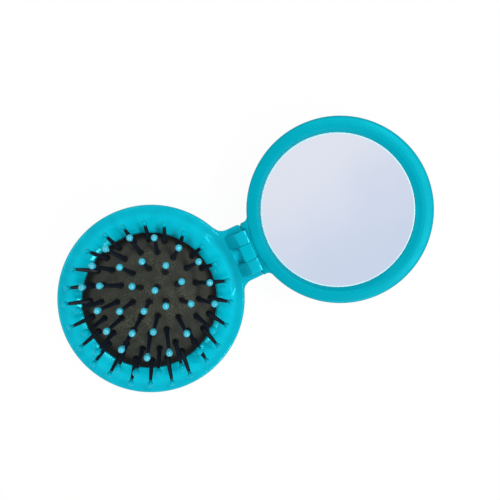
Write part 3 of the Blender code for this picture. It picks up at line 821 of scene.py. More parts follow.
def nylon_material(name, base):
    """Return smooth dark nylon with a faint drawn grain."""
    material, tree, shader, vector = new_material(name)
    grain = use_group(tree, grain_group(), vector, Grain_Scale=3200.0, Bloom_Scale=420.0,
                      Bloom=0.35)
    paler = [value * 1.8 + 0.002 for value in base]
    tree.links.new(add_mix(tree, grain.outputs["Bloom"], base, paler), shader.inputs["Base Color"])
    rough = add_range(tree, grain.outputs["Grain"], 0.0, 1.0, 0.34, 0.46)
    tree.links.new(rough, shader.inputs["Roughness"])
    shader.inputs["Specular IOR Level"].default_value = 0.25
    add_bump(tree, shader, grain.outputs["Height"], 0.15)
    return material


def mirror_material(name, pale, cool_reflection, centre):
    """Return silvered glass with a painted reflection: its tone cools evenly from one side to the
    other.
    """
    material, tree, shader, vector = new_material(name)
    place = tree.nodes.new("ShaderNodeMapping")
    place.vector_type = "TEXTURE"
    place.inputs["Location"].default_value = centre
    place.inputs["Rotation"].default_value = (0, 0, PAINTED_REFLECTION_TURN)
    place.inputs["Scale"].default_value = (MIRROR_HIGH.y * 2,) * 3
    tree.links.new(vector, place.inputs["Vector"])
    split = tree.nodes.new("ShaderNodeSeparateXYZ")
    tree.links.new(place.outputs["Vector"], split.inputs["Vector"])
    # Painted reflection: a faint haze wavers the line between the pale and the cool tone
    reflection_haze = add_math(tree, "SUBTRACT", add_noise(tree, vector, scale=34.0, detail=2.0), 0.5)
    drift = add_math(tree, "ADD", split.outputs["X"], add_math(tree, "MULTIPLY", reflection_haze, 0.5))
    reflection_tone = add_range(tree, drift, low=-0.45, high=0.45)
    tree.links.new(add_mix(tree, reflection_tone, pale, cool_reflection), shader.inputs["Base Color"])
    specks = add_noise(tree, vector, scale=1500.0, detail=2.0)
    rough = add_range(tree, specks, low=0.70, high=0.80, to_low=0.015, to_high=0.10)
    tree.links.new(rough, shader.inputs["Roughness"])
    shader.inputs["Metallic"].default_value = 1.0
    return material


def glass_edge_material(name, base):
    """Return the ground, pale edge of the mirror glass."""
    material, tree, shader, vector = new_material(name)
    grind = add_noise(tree, vector, scale=1800.0)
    tree.links.new(add_mix(tree, grind, scaled(base, 0.90), base), shader.inputs["Base Color"])
    rough = add_range(tree, grind, low=0.3, high=0.7, to_low=0.48, to_high=0.62)
    tree.links.new(rough, shader.inputs["Roughness"])
    shader.inputs["Specular IOR Level"].default_value = 0.05
    add_bump(tree, shader, grind, 0.1)
    return material


def steel_material(name, base):
    """Return drawn steel wire."""
    material, tree, shader, vector = new_material(name)
    surface = use_group(tree, moulding_group(), vector, Cloud_Scale=300.0, Scuffs=1.0)
    low = scaled(base, 0.72)
    tree.links.new(add_mix(tree, surface.outputs["Cloud"], low, base), shader.inputs["Base Color"])
    rough = add_range(tree, surface.outputs["Scuff"], 0.0, 1.0, 0.26, 0.5)
    tree.links.new(rough, shader.inputs["Roughness"])
    shader.inputs["Metallic"].default_value = 1.0
    add_bump(tree, shader, surface.outputs["Height"], 0.2)
    return material


def foam_material(name, base):
    """Return open white foam tape."""
    material, tree, shader, vector = new_material(name)
    grain = use_group(tree, grain_group(), vector, Grain_Scale=1800.0, Bloom_Scale=300.0, Bloom=0.6)
    low = scaled(base, 0.82)
    tree.links.new(add_mix(tree, grain.outputs["Grain"], low, base), shader.inputs["Base Color"])
    shader.inputs["Roughness"].default_value = 0.9
    add_bump(tree, shader, grain.outputs["Height"], 0.6, distance=0.0001)
    return material


def turquoise(name, roughness=None, shade=1.0, gloss=None, warmth=0.08, **values):
    """Return turquoise plastic for one piece; warmth is the red that its highlights keep."""
    look = settings().finish
    if roughness is None:
        roughness = look.plastic_roughness
    if gloss is None:
        gloss = look.plastic_gloss
    return plastic_material(name, scaled(look.turquoise, shade),
                            scaled(look.turquoise_deep, shade), roughness,
                            (warmth, *HIGHLIGHT_GREEN_BLUE), gloss, **values)


def tip_lacquer(name):
    """Return the glossy lacquer of the ball ends."""
    look = settings().finish
    return plastic_material(name, look.tip, scaled(look.tip, 0.92), roughness=0.16, tint=WHITE,
                            gloss=0.5, clouds=400.0, scuffs=0.2, peel=0.15)


def paint_shading_zone(material, colour, centre, near, far):
    """Paint a zone of shade or light onto a finish as another colour: full within near of a centre,
    gone beyond far.
    """
    tree = material.node_tree
    shader = tree.nodes["Principled BSDF"]
    base = shader.inputs["Base Color"].links[0].from_socket
    place = tree.nodes.new("ShaderNodeTexCoord")
    distance = add_distance(tree, place.outputs["Object"], centre)
    shading_mask = add_range(tree, distance, far, near)
    tree.links.new(add_mix(tree, shading_mask, base, colour), shader.inputs["Base Color"])


# Pieces


def tongue_outline(side, reach, corner, fillet):
    """Return the plan of a hinge tongue: side -1 leaves the tub, +1 the lid."""
    tub = settings().tub
    hinge = settings().hinge
    half = hinge.width / 2
    spread = tub.radius + fillet
    root = tub.radius - ROOT_REACH * tub.wall
    upper, lower = [], []
    for way, points in ((1, upper), (-1, lower)):
        centre_y = half + fillet
        centre_x = BRUSH_X + math.sqrt(spread ** 2 - (centre_y + way * hinge.shift) ** 2)
        first = math.atan2(-centre_y - way * hinge.shift, BRUSH_X - centre_x)
        points += arc((centre_x, centre_y), fillet, first, -math.pi / 2, FILLET_STEPS)
        turn = corner if way > 0 else corner / CORNER_RATIO
        points += arc((reach - turn, half - turn), turn, math.pi / 2, 0, CORNER_STEPS)
        points[:] = [(x, way * y + hinge.shift) for x, y in points]
    start = math.atan2(upper[0][1], upper[0][0] - BRUSH_X)
    end = math.atan2(lower[0][1], lower[0][0] - BRUSH_X)
    back = arc((BRUSH_X, 0), root, end, start, ROOT_STEPS)
    return [(-side * x, y) for x, y in upper + lower[::-1] + back]


def add_tongue(name, side, reach, top, depth, corner, fillet):
    """Add a hinge tongue with soft upper edges."""
    tub = settings().tub
    hinge = settings().hinge
    bottom = AXIS_HEIGHT - depth
    outline = [(x, y, top) for x, y in tongue_outline(side, reach, corner, fillet)]
    centre = Vector((side * -BRUSH_X, 0))
    inside = tub.radius - RIM_REACH * tub.wall

    def on_rim(first, second):
        level = abs(first.z - second.z) < MERGE_DISTANCE
        return level and max((p.xy - centre).length for p in (first, second)) > inside

    piece = slab(name, outline, (0, 0, bottom - top), hinge.soft_edge, on_rim)
    for vert in piece.data.vertices:
        taper = 1 - hinge.draft * (top - vert.co.z) / (hinge.width / 2)
        vert.co.y = hinge.shift + (vert.co.y - hinge.shift) * taper
    return piece


def hinge_slab(name, section, start, size, edge=0.0, keep=None):
    """Extrude a section, given round the hinge's axis, along that axis."""
    points = [(x, start, AXIS_HEIGHT + z) for x, z in section]
    return slab(name, points, (0, size, 0), edge, keep)


def add_knuckle(name, section, start, size):
    """Add a knuckle with rounded ends and bore it for the wire."""
    hinge = settings().hinge
    outline = rounded(section, KNUCKLE_STEPS, closed=True)
    piece = hinge_slab(name, outline, start, size, hinge.knuckle_edge,
                       lambda a, b: abs(a.y - b.y) < MERGE_DISTANCE)
    half = hinge.width
    profile = [(0, -half), (hinge.bore, -half), (hinge.bore, half), (0, half)]
    bore = lathe(name + "_bore", profile, WIRE_STEPS, (0, hinge.shift, AXIS_HEIGHT), "Y")
    join_solid(piece, bore, "DIFFERENCE")
    return piece


def add_lug_notch(name):
    """Add the tool that clears the lug behind the three knuckles."""
    hinge = settings().hinge
    half = hinge.lid_knuckle_length / 2 + hinge.knuckle_length + NOTCH_GAPS * hinge.end_gap
    section = arc((0, 0), hinge.lug_notch, 0, math.tau, NOTCH_STEPS)[:-1]
    return hinge_slab(name, section, hinge.shift - half, 2 * half)


def add_cradle(name, half):
    """Add the tool that hollows the tub's tongue where the lid's knuckle folds in."""
    hinge = settings().hinge
    room, floor, swing = hinge.cradle, hinge.cradle_floor, hinge.swing
    side_x = -BRUSH_X - settings().tub.radius
    section = arc((0, 0), room, math.pi / 2, math.pi + math.asin(floor / room), CRADLE_STEPS)
    section += arc((0, 0), swing, math.pi + math.asin(floor / swing), 3 * math.pi / 2, SWING_STEPS)
    section += [(side_x, -swing), (side_x, room)]
    return hinge_slab(name, section, hinge.shift - half, 2 * half)


def face_offset():
    """Return the small step that keeps joined faces out of one plane."""
    return settings().hinge.end_gap / 4


def tub_profile():
    """Return the closed section of the tub's wall."""
    tub = settings().tub
    side = smooth_curve([(tub.radius * r, tub.height * h) for r, h in TUB_SIDE], SIDE_STEPS)
    side = [(min(r, tub.radius), h) for r, h in side]
    top = tub.height + tub.ring_rise
    lip_bottom = top - tub.lip_depth
    sleeve_bottom = BACK_HIGH.z + FIT_GAP
    sleeve_outer = tub.sleeve_radius + tub.sleeve_wall
    roof = tub.height - tub.roof
    seat = BACK_HIGH.y + FIT_GAP
    rim = rounded([(tub.radius, tub.height * TUB_SIDE[-1][1], 0),
                   (tub.radius, tub.height, tub.edge_round),
                   (tub.ring_radius + tub.ring_step, tub.height, tub.ring_round),
                   (tub.ring_radius, top, tub.ring_round),
                   (tub.bore_radius + tub.lip_width, top, tub.lip_crown),
                   (tub.bore_radius, top - tub.lip_fall, tub.lip_round),
                   (tub.bore_radius, lip_bottom, 0)], RIM_STEPS)
    hollow = [(r - tub.wall, h) for r, h in side[::SIDE_STEPS] if sleeve_bottom < h < roof]
    inner = [(tub.sleeve_radius, lip_bottom), (tub.sleeve_radius, sleeve_bottom),
             (sleeve_outer, sleeve_bottom), (sleeve_outer, roof), (hollow[-1][0], roof)]
    inner += hollow[::-1] + [(hollow[0][0], sleeve_bottom), (seat, sleeve_bottom), (seat, 0)]
    return side[:-1] + rim + inner + [side[0]]


def shift_bore(piece):
    """Move the opening a little off the tub's middle, and blend the ring's top into it."""
    tub = settings().tub
    lip_bottom = tub.height + tub.ring_rise - tub.lip_depth
    for vert in piece.data.vertices:
        radius = (vert.co.xy - Vector((BRUSH_X, 0))).length
        if vert.co.z < lip_bottom - MERGE_DISTANCE or radius > tub.ring_radius:
            continue
        blend = min((tub.ring_radius - radius) / (tub.ring_radius - tub.sleeve_radius), 1.0)
        vert.co.x -= tub.bore_back * blend
        vert.co.y -= tub.bore_side * blend


def clamp(value):
    """Keep a value between 0 and 1."""
    return min(max(value, 0.0), 1.0)


def sink_platform(piece):
    """Lower the land before the hinge, fading out at both ends."""
    tub = settings().tub
    roof = tub.height - tub.roof
    for vert in piece.data.vertices:
        x, y = vert.co.x - BRUSH_X, vert.co.y - settings().hinge.shift
        radius = math.hypot(x, y)
        if x < 0 or vert.co.z <= roof or radius < tub.ring_radius:
            continue
        along = clamp((tub.platform_outer - abs(y)) / (tub.platform_outer - tub.platform_inner))
        across = clamp((radius - tub.ring_radius) / tub.ring_step)
        upward = clamp((vert.co.z - roof) / (tub.height - roof))
        fade = along ** 2 * (3 - 2 * along) * across ** 2 * (3 - 2 * across)
        vert.co.z -= tub.platform_drop * fade * upward


def tub_knuckle_section():
    """Return the section of the tub's knuckles round the hinge's axis."""
    tub = settings().tub
    hinge = settings().hinge
    top = tub.height - tub.platform_drop - AXIS_HEIGHT
    low_angle = math.asin((hinge.barrel - hinge.brow_round) / hinge.knuckle_back)
    back = arc((0, 0), hinge.knuckle_back, math.acos(hinge.knuckle_right / hinge.knuckle_back),
               -low_angle, KNUCKLE_BACK_STEPS)
    lower_round = hinge.brow_round / 3
    section = [(-hinge.ramp_foot, -hinge.barrel, 0), (-hinge.ramp_foot, top, 0),
               (-hinge.knuckle_left, hinge.knuckle_top, hinge.knuckle_round),
               (hinge.knuckle_right - hinge.brow_width, hinge.knuckle_top, hinge.brow_round),
               (hinge.knuckle_right, hinge.knuckle_top - hinge.brow_drop, lower_round)]
    section += [(x, z, 0) for x, z in back]
    return section + [(back[-1][0] - hinge.brow_round, -hinge.barrel, 0)]


def tub_plastic():
    """Return the tub's plastic, with painted shade on its platform and painted light on its ring
    and in its cradle.
    """
    tub = settings().tub
    hinge = settings().hinge
    look = settings().finish
    plastic = turquoise("tub_plastic")
    # Painted shade: darker plastic on the platform before the hinge
    platform = (BRUSH_X + tub.ring_radius, hinge.shift, tub.height)
    paint_shading_zone(plastic, look.turquoise_platform_painted_shade, platform,
              *(tub.platform_outer * share for share in PLATFORM_SHADE_ZONE))
    # Painted light: paler plastic on the raised ring, where the pins shade it
    paint_shading_zone(plastic, look.turquoise_ring_painted_light, (BRUSH_X, 0, tub.height),
              tub.ring_radius, tub.ring_radius + RING_LIGHT_FADE * tub.ring_step)
    # Painted light: paler plastic in the cradle, where its walls shade it
    floor = hinge.cradle_floor
    paint_shading_zone(plastic, look.turquoise_hollow_painted_light, (-floor, hinge.shift, AXIS_HEIGHT - floor),
              *(hinge.cradle * share for share in CRADLE_LIGHT_ZONE))
    return plastic


class BRUSH_OT_add_tub(bpy.types.Operator):
    """Model the tub with its raised ring, lip, platform and hinge knuckles."""

    bl_idname = "brush.add_tub"
    bl_label = "Add Tub"

    def execute(self, context):
        tub = settings().tub
        hinge = settings().hinge
        piece = lathe("tub", tub_profile(), tub.segments, (BRUSH_X, 0, 0))
        shift_bore(piece)
        sink_platform(piece)
        tongue = add_tongue("tub_tongue", -1, hinge.reach, tub.height - tub.platform_drop,
                            hinge.case_depth, hinge.corner, hinge.fillet)
        join_solid(piece, tongue, "UNION")
        start = hinge.lid_knuckle_length / 2 + hinge.end_gap
        join_solid(piece, add_cradle("cradle", start - face_offset()), "DIFFERENCE")
        for side in (-1, 1):
            low = min(side * start, side * (start + hinge.knuckle_length)) + hinge.shift
            knuckle = add_knuckle("tub_knuckle", tub_knuckle_section(), low, hinge.knuckle_length)
            join_solid(piece, knuckle, "UNION")
        finish_piece(piece, "case", ["case_tub"], [tub_plastic()])
        return {"FINISHED"}


class BRUSH_OT_add_back(bpy.types.Operator):
    """Model the back ring and the push plate with its finger dish."""

    bl_idname = "brush.add_back"
    bl_label = "Add Back Ring and Push Plate"

    def execute(self, context):
        tub = settings().tub
        centre = (BRUSH_X, 0, 0)
        hole, edge, thick = tub.finger_hole, BACK_HIGH.y, BACK_HIGH.z
        chamfer = tub.back_chamfer
        corners = [(hole, thick / 2, 0), (hole, 0, chamfer), (edge, 0, chamfer / 2),
                   (edge, thick, 0), (hole, thick, chamfer / 2), (hole, thick / 2, 0)]
        ring = lathe("back_ring", rounded(corners, RING_STEPS), tub.segments, centre)
        finish_piece(ring, "case", ["case_back_ring"],
                     [turquoise("back_plastic", clouds=45.0, scuffs=1.0)])
        low, high = PLATE_LOW.z, PLATE_HIGH.z
        dish = [(tub.dish_radius * index / DISH_STEPS,
                 low + tub.dish_depth * (1 - (index / DISH_STEPS) ** 2))
                for index in range(DISH_STEPS)]
        ridge = (tub.boss_radius - tub.dish_radius) / RIDGES_IN_RIM
        soft = ridge / RIDGE_ROUND
        profile = dish + rounded(
            [(tub.dish_radius, low, 0), (tub.dish_radius + ridge, low, soft),
             (tub.dish_radius + 1.5 * ridge, low + ridge / 2, soft),
             (tub.dish_radius + 2 * ridge, low, soft),
             (tub.boss_radius, low, ridge * RIM_ROUND), (tub.boss_radius, high - tub.flange, 0),
             (PLATE_HIGH.y, high - tub.flange, 0), (PLATE_HIGH.y, high, 0), (0, high, 0)],
            BUTTON_STEPS)
        plate = lathe("push_button", profile, tub.segments, centre)
        finish_piece(plate, "brush_core", ["push_plate"],
                     [turquoise("button_plastic", clouds=70.0, scuffs=1.0)])
        return {"FINISHED"}


def pad_height(radius):
    """Return the height of the pad's dome at a radius."""
    pad = settings().pad
    dome = PAD_HIGH.z - pad.edge_height
    return pad.edge_height + dome * (1 - (radius / pad.radius) ** 2)


def dome_section(radii, sink=0.0):
    """Return points of the pad's dome at radii, sunk by a depth."""
    return [(radius, pad_height(radius) - sink) for radius in radii]


def pin_place(foot, angle, lean, bend):
    """Return the place of a pin that leans outwards and is bent by small angles in degrees."""
    outward, sideways = (math.radians(value) for value in bend)
    return (Matrix.Translation(foot) @ Matrix.Rotation(angle, 4, "Z")
            @ Matrix.Rotation(lean + outward, 4, "Y") @ Matrix.Rotation(-sideways, 4, "X"))


def ring_places(kind, radius, lean):
    """Return the places of a ring of fixed pins as matrices."""
    places = []
    bends = PIN_BENDS[kind]
    for index, bend in enumerate(bends):
        angle = settings().pins.phase + math.tau * index / len(bends)
        foot = (BRUSH_X + radius * math.cos(angle), radius * math.sin(angle), pad_height(radius))
        places.append(pin_place(foot, angle, lean, bend))
    return places


def fixed_places():
    """Return the places of the middle pin and of the two inner rings."""
    pins = settings().pins
    radius = settings().pad.radius
    places = ring_places("middle", 0, 0)
    places += ring_places("first", radius * pins.first_share, pins.lean_first)
    places += ring_places("second", radius * pins.second_share, pins.lean_second)
    return places


def hinged_places(kind, lean):
    """Return node names and places of the hinged pins, as their joints give them."""
    names = [name for name in JOINTS if name.startswith(kind)]
    places = {}
    for name, bend in zip(names, PIN_BENDS[kind]):
        foot = Vector(JOINTS[name]["pos_m"])
        angle = math.atan2(foot.y, foot.x - BRUSH_X)
        places[JOINTS[name]["child"]] = pin_place(foot, angle, lean, bend)
    return places


class BRUSH_OT_add_pad(bpy.types.Operator):
    """Model the domed rubber pad with a socket for every pin."""

    bl_idname = "brush.add_pad"
    bl_label = "Add Rubber Pad"

    def execute(self, context):
        pad = settings().pad
        dome = dome_section([pad.radius * index / DOME_STEPS for index in range(DOME_STEPS_TO_RIM)])
        hollow = dome_section([pad.hollow_radius * index / HOLLOW_STEPS
                               for index in range(HOLLOW_STEPS + 1)], pad.sheet)
        slope = pad.radius - pad.rim_width
        edge = rounded([(*dome[-1], 0), (slope, pad_height(slope), pad.rim_round),
                        (pad.radius, PAD_LOW.z + pad.rim_side, pad.rim_side / 2),
                        (pad.radius, PAD_LOW.z, 0)], CORNER_STEPS)
        profile = dome[:-1] + edge + [(pad.hollow_radius, PAD_LOW.z)] + hollow[::-1]
        tub = settings().tub
        piece = lathe("rubber_pad", profile, pad.segments, (BRUSH_X, 0, 0))
        for vert in piece.data.vertices:
            if (vert.co.xy - Vector((BRUSH_X, 0))).length > pad.hollow_radius + MERGE_DISTANCE:
                vert.co.x -= tub.bore_back
                vert.co.y -= tub.bore_side
        activate(piece)
        bpy.ops.mesh.primitive_uv_sphere_add(segments=SOCKET_STEPS, ring_count=SOCKET_STEPS // 2,
                                             radius=pad.socket_radius)
        bpy.ops.transform.resize(value=(1.0, 1.0, pad.socket_share))
        bpy.ops.object.transform_apply(location=True, rotation=True, scale=True)
        ball = bpy.context.object
        places = fixed_places()
        for kind in ("mid_pin", "rim_pin"):
            places += list(hinged_places(kind, 0.0).values())
        sockets = [copy_to(ball, "socket", place) for place in places]
        discard(ball)
        join_solid(piece, join_pieces(sockets, "sockets"), "DIFFERENCE")
        look = settings().finish
        finish_piece(piece, "brush_core", ["bristle_pad"],
                     [rubber_material("pad_rubber", look.rubber, look.rubber_dust,
                                      look.rubber_roughness, (BRUSH_X, 0, PAD_HIGH.z))])
        return {"FINISHED"}


def stem_master(name, size, ball):
    """Model one pin's stem upright, foot at the origin."""
    pins = settings().pins
    foot = pins.foot_radius
    root = pins.root_radius
    neck = size - ball * NECK_DEPTH
    profile = [(0, -foot)] + arc((0, 0), foot, -math.pi / 3, 0, FOOT_STEPS)
    profile += [(root * FLARE_WIDTH, foot * FLARE_HEIGHT), (root, foot * ROOT_HEIGHT),
                (root * WAIST_WIDTH, size * WAIST_HEIGHT), (pins.neck_radius, neck), (0, neck)]
    return lathe(name, profile, pins.segments)


def tip_master(name, size, radius):
    """Model one pin's ball end with the small collar of lacquer under it."""
    pins = settings().pins
    collar = pins.neck_radius * COLLAR_WIDTH
    ball = arc((0, size), radius, BALL_START, math.pi / 2, BALL_STEPS)
    profile = [(0, size - radius * COLLAR_FOOT), (collar, size - radius * COLLAR_TOP)]
    profile += ball[:-1] + [(0, size + radius)]
    return lathe(name, profile, pins.segments + 2)


class BRUSH_OT_add_fixed_pins(bpy.types.Operator):
    """Model the middle pin and the two inner rings on the plate under the pad."""

    bl_idname = "brush.add_fixed_pins"
    bl_label = "Add Fixed Pins"

    def execute(self, context):
        pad = settings().pad
        pins = settings().pins
        look = settings().finish
        top = dome_section([pad.plate_radius * (1 - index / HOLLOW_STEPS)
                            for index in range(HOLLOW_STEPS + 1)], pad.sheet + FIT_GAP)
        profile = [(0, PAD_LOW.z), (pad.plate_radius, PAD_LOW.z)] + top
        plate = lathe("pin_seat", profile, pad.segments // 2, (BRUSH_X, 0, 0))
        stem = stem_master("stem", pins.length, pins.ball_radius)
        tip = tip_master("tip", pins.length, pins.ball_radius)
        stems = [copy_to(stem, "stem_copy", place) for place in fixed_places()]
        tips = [copy_to(tip, "tip_copy", place) for place in fixed_places()]
        discard(stem, tip)
        body = join_pieces([plate] + stems, "fixed_stems")
        finish_piece(body, "brush_core", ["pin_plate"],
                     [nylon_material("fixed_nylon", look.stem)])
        ends = join_pieces(tips, "fixed_tips")
        finish_piece(ends, "brush_core", ["pin_plate"],
                     [tip_lacquer("fixed_lacquer")])
        return {"FINISHED"}


class BRUSH_OT_add_hinged_pins(bpy.types.Operator):
    """Model the pins of the two outer rings, each on its own ball foot."""

    bl_idname = "brush.add_hinged_pins"
    bl_label = "Add Hinged Pins"

    def execute(self, context):
        pins = settings().pins
        nylon = nylon_material("pin_nylon", settings().finish.stem)
        lacquer = tip_lacquer("pin_lacquer")
        plain = turquoise("rim_lacquer", gloss=0.1, clouds=80.0)
        rings = (("mid_pin", pins.lean_mid, pins.length, pins.ball_radius),
                 ("rim_pin", pins.lean_rim, pins.rim_length, pins.rim_ball_radius))
        for kind, lean, size, ball in rings:
            stem = stem_master("stem", size, ball)
            tip = tip_master("tip", size, ball)
            for index, (node, place) in enumerate(hinged_places(kind, lean).items()):
                coat = plain if index in PLAIN_TIPS[kind] else lacquer
                finish_piece(copy_to(stem, node + "_stem", place), node, [node],
                             [nylon])
                finish_piece(copy_to(tip, node + "_tip", place), node, [node],
                             [coat])
            discard(stem, tip)
        return {"FINISHED"}


def shift_recess(piece, recess, floor):
    """Move the mirror's recess a little off the lid's middle, and blend the frame into it."""
    tub = settings().tub
    lid = settings().lid
    for vert in piece.data.vertices:
        radius = (vert.co.xy - Vector((LID_X, 0))).length
        if vert.co.z < tub.height + floor - MERGE_DISTANCE or radius > lid.crest_radius:
            continue
        blend = min((lid.crest_radius - radius) / (lid.crest_radius - recess), 1.0)
        vert.co.x -= lid.recess_back * blend
        vert.co.y += lid.recess_side * blend


def lid_knuckle_section():
    """Return the section of the lid's knuckle and its arm round the hinge's axis."""
    tub = settings().tub
    hinge = settings().hinge
    arm = LID_X - tub.radius + tub.wall
    top = tub.height - hinge.lug_drop - AXIS_HEIGHT - face_offset()
    soft = hinge.brow_round
    toe_x = -hinge.lid_barrel / 2
    heel_z = -hinge.lid_barrel / 4
    return [(toe_x, -hinge.lid_barrel, soft), (-hinge.lid_knuckle_heel, heel_z, soft),
            (-hinge.lid_knuckle_left, hinge.knuckle_top, hinge.knuckle_round),
            (hinge.knuckle_right - hinge.brow_width, hinge.knuckle_top, soft),
            (hinge.knuckle_right, hinge.knuckle_top - hinge.brow_drop, soft),
            (hinge.knuckle_right, top, 0), (arm, top, 0), (arm, -hinge.lid_barrel, 0)]


class BRUSH_OT_add_lid(bpy.types.Operator):
    """Model the lid with its rounded frame, mirror recess, lug and knuckle."""

    bl_idname = "brush.add_lid"
    bl_label = "Add Lid"

    def execute(self, context):
        tub = settings().tub
        lid = settings().lid
        hinge = settings().hinge
        recess = MIRROR_HIGH.y + lid.mirror_gap
        floor = FOAM_LOW.z - FIT_GAP - tub.height
        back = smooth_curve([(tub.radius * r, -lid.thickness * d) for r, d in LID_BACK],
                            LID_BACK_STEPS)
        back = [(min(max(r, 0.0), tub.radius), min(h, 0.0)) for r, h in back]
        slope = rounded([(*back[-1], 0), (lid.crest_radius, 0, lid.crest_round),
                         (lid.shoulder_radius, -lid.shoulder_depth, lid.shoulder_round),
                         (recess, -lid.slope_depth, lid.recess_round), (recess, floor, 0),
                         (0, floor, 0)], FRAME_STEPS)
        centre = (LID_X, 0, tub.height)
        piece = lathe("lid", back[:-1] + slope, tub.segments, centre)
        shift_recess(piece, recess, floor)
        lug = add_tongue("lid_lug", 1, -hinge.setback, tub.height - hinge.lug_drop,
                         hinge.lug_depth, hinge.lug_corner, hinge.lug_fillet)
        join_solid(lug, add_lug_notch("lug_notch"), "DIFFERENCE")
        join_solid(piece, lug, "UNION")
        start = hinge.shift - hinge.lid_knuckle_length / 2
        knuckle = add_knuckle("lid_knuckle", lid_knuckle_section(), start,
                              hinge.lid_knuckle_length)
        join_solid(piece, knuckle, "UNION")
        look = settings().finish
        # Painted shade: the lid's plastic is darkened as a share of the tub's
        plastic = turquoise("lid_plastic", look.lid_roughness, look.lid_painted_shade, warmth=0.02,
                            clouds=50.0)
        # Painted light: paler plastic by the hinge, lifting the lid's painted shade on its lug and
        # knuckle
        paint_shading_zone(plastic, look.turquoise_lug_painted_light, (0, hinge.shift, AXIS_HEIGHT),
                  *(hinge.lug_notch * share for share in LUG_LIGHT_ZONE))
        finish_piece(piece, "lid", ["lid_shell"], [plastic])
        return {"FINISHED"}


class BRUSH_OT_add_mirror(bpy.types.Operator):
    """Model the mirror with its ground edge, and finish the foam tape behind it."""

    bl_idname = "brush.add_mirror"
    bl_label = "Add Mirror"

    def execute(self, context):
        lid = settings().lid
        look = settings().finish
        radius, top, low = MIRROR_HIGH.y, MIRROR_HIGH.z, MIRROR_LOW.z
        bevel = lid.mirror_bevel
        back_round = bevel / 3
        bevel_depth = bevel * 0.6
        line_round = bevel / 8
        corners = [(0, low, 0), (radius, low, back_round), (radius, top - bevel_depth, line_round),
                   (radius - bevel, top, line_round), (0, top, 0)]
        centre = (LID_X - lid.recess_back, lid.recess_side, 0)
        piece = lathe("mirror", rounded(corners, EDGE_STEPS), lid.segments, centre)
        materials = [mirror_material("mirror_silver", look.silver, look.silver_reflection_cool,
                                     (LID_X, 0, top)),
                     glass_edge_material("mirror_edge", look.glass_edge)]
        finish_piece(piece, "lid", ["mirror_glass"], materials,
                     angle=MIRROR_SMOOTH_ANGLE)
        for face in piece.data.polygons:
            face.material_index = 0 if face.normal.z > FLAT_NORMAL else 1
        foam = frame["nodes"]["mirror_foam"]
        for holder in foam.material_slots:
            holder.material = foam_material("foam_tape", look.foam)
        return {"FINISHED"}


class BRUSH_OT_add_hinge_wire(bpy.types.Operator):
    """Model the hinge wire with its rounded ends."""

    bl_idname = "brush.add_hinge_wire"
    bl_label = "Add Hinge Wire"

    def execute(self, context):
        radius = (WIRE_HIGH.z - WIRE_LOW.z) / 2
        low, high = WIRE_LOW.y, WIRE_HIGH.y
        end_round = radius / 3
        corners = [(0, low, 0), (radius, low, end_round), (radius, high, end_round), (0, high, 0)]
        piece = lathe("hinge_wire", rounded(corners, BUTTON_STEPS), WIRE_STEPS,
                      (0, 0, AXIS_HEIGHT), "Y")
        finish_piece(piece, "case", ["hinge_pin"],
                     [steel_material("wire_steel", settings().finish.steel)])
        return {"FINISHED"}


def add_light(name, place, size, power, target):
    """Add a soft rectangular light that faces the target."""
    deselect()
    turn = (target - place).to_track_quat("-Z", "Y").to_euler()
    bpy.ops.object.light_add(type="AREA", location=place, rotation=turn)
    light = bpy.context.object
    light.name = name
    light.data.shape = "RECTANGLE"
    light.data.size, light.data.size_y = size
    light.data.energy = power


def seen_directly(tree):
    """Return 1 for the camera, reflections and glass, and 0 for all other light."""
    path = tree.nodes.new("ShaderNodeLightPath")
    seen = add_math(tree, "MAXIMUM", path.outputs["Is Camera Ray"], path.outputs["Is Glossy Ray"])
    return add_math(tree, "MAXIMUM", seen, path.outputs["Is Transmission Ray"])


def mix_shaders(tree, factor, first, second, surface):
    """Mix two shaders onto a surface."""
    mix = tree.nodes.new("ShaderNodeMixShader")
    for index, value in enumerate((factor, first, second)):
        tree.links.new(value, mix.inputs[index])
    tree.links.new(mix.outputs["Shader"], surface)


def white_world(ambient):
    """Light the scene evenly, and show white to the camera and to glossy surfaces."""
    world = bpy.data.worlds.new("studio")
    world.use_nodes = True
    bpy.context.scene.world = world
    tree = world.node_tree
    plain = tree.nodes["Background"]
    plain.inputs["Color"].default_value = (*SKY_COLOUR, 1.0)
    plain.inputs["Strength"].default_value = ambient
    white = tree.nodes.new("ShaderNodeBackground")
    white.inputs["Color"].default_value = (*WHITE, 1.0)
    mix_shaders(tree, seen_directly(tree), plain.outputs["Background"],
                white.outputs["Background"], tree.nodes["World Output"].inputs["Surface"])


def floor_material(glow):
    """Return a white floor that fades into the backdrop but keeps a soft shadow."""
    material, tree, shader, vector = new_material("white_floor")
    shader.inputs["Base Color"].default_value = (*FLOOR_COLOUR, 1.0)
    shader.inputs["Roughness"].default_value = 0.9
    white = tree.nodes.new("ShaderNodeEmission")
    factor = add_math(tree, "MULTIPLY", seen_directly(tree), glow)
    mix_shaders(tree, factor, shader.outputs["BSDF"], white.outputs["Emission"],
                tree.nodes["Material Output"].inputs["Surface"])
    return material


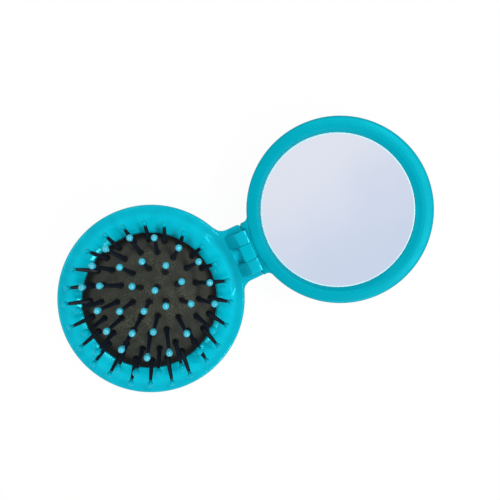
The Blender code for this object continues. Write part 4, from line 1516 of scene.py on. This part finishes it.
class BRUSH_OT_add_studio(bpy.types.Operator):
    """Set up the camera, the soft lights, the white floor and the world."""

    bl_idname = "brush.add_studio"
    bl_label = "Add Studio"

    def execute(self, context):
        studio = settings().studio
        scene = bpy.context.scene
        deselect()
        back = -Vector(studio.direction).normalized()
        right = Vector(studio.upward).cross(back).normalized()
        up = back.cross(right)
        turn = Matrix((right, up, back)).transposed().to_euler()
        bpy.ops.object.camera_add(location=studio.position, rotation=turn)
        camera = bpy.context.object
        camera.data.lens = studio.lens
        camera.data.shift_x, camera.data.shift_y = studio.framing
        camera.data.clip_start = CLIP_START
        scene.camera = camera
        deselect()
        bpy.ops.mesh.primitive_plane_add(size=FLOOR_SIZE, location=(0, 0, -FLOOR_DROP))
        floor = bpy.context.object
        floor.name = "studio_floor"
        floor.data.materials.append(floor_material(studio.floor_glow))
        white_world(studio.ambient)
        for name, (angle, reach, strength) in LIGHTS.items():
            way = Vector((math.cos(math.radians(angle)), math.sin(math.radians(angle)), 0))
            target = Vector((BRUSH_X, 0, AXIS_HEIGHT))
            place = target + way * reach + Vector((0, 0, studio.light_height))
            size = (studio.light_length, studio.light_width)
            add_light(name, place, size, studio.power * strength, target)
        scene.view_settings.view_transform = "Standard"
        return {"FINISHED"}


class BRUSH_PT_sidebar(bpy.types.Panel):
    """List the steps that build the brush."""

    bl_idname = "BRUSH_PT_sidebar"
    bl_label = "Pocket Brush"
    bl_space_type = "VIEW_3D"
    bl_region_type = "UI"
    bl_category = "Pocket Brush"

    def draw(self, context):
        for step in STEPS:
            self.layout.operator(step.bl_idname)
        look = context.scene.pocket_brush.finish
        for label in ("turquoise", "tip", "stem", "rubber"):
            self.layout.prop(look, label)


STEPS = (BRUSH_OT_add_studio, BRUSH_OT_add_tub, BRUSH_OT_add_back, BRUSH_OT_add_pad,
         BRUSH_OT_add_fixed_pins, BRUSH_OT_add_hinged_pins, BRUSH_OT_add_lid,
         BRUSH_OT_add_mirror, BRUSH_OT_add_hinge_wire)

CLASSES = (TubSizes, PadSizes, PinSizes, LidSizes, HingeSizes, Finishes, StudioSettings,
           PocketBrushSettings, *STEPS, BRUSH_PT_sidebar)


def register():
    """Register the classes and the settings."""
    for item in CLASSES:
        bpy.utils.register_class(item)
    bpy.types.Scene.pocket_brush = PointerProperty(type=PocketBrushSettings)


def unregister():
    """Take the settings and the classes away again."""
    del bpy.types.Scene.pocket_brush
    for item in reversed(CLASSES):
        bpy.utils.unregister_class(item)


def main():
    """Build the studio and every piece."""
    register()
    bpy.ops.brush.add_studio()
    bpy.ops.brush.add_tub()
    bpy.ops.brush.add_back()
    bpy.ops.brush.add_pad()
    bpy.ops.brush.add_fixed_pins()
    bpy.ops.brush.add_hinged_pins()
    bpy.ops.brush.add_lid()
    bpy.ops.brush.add_mirror()
    bpy.ops.brush.add_hinge_wire()
    deselect()


if __name__ == "__main__":
    main()
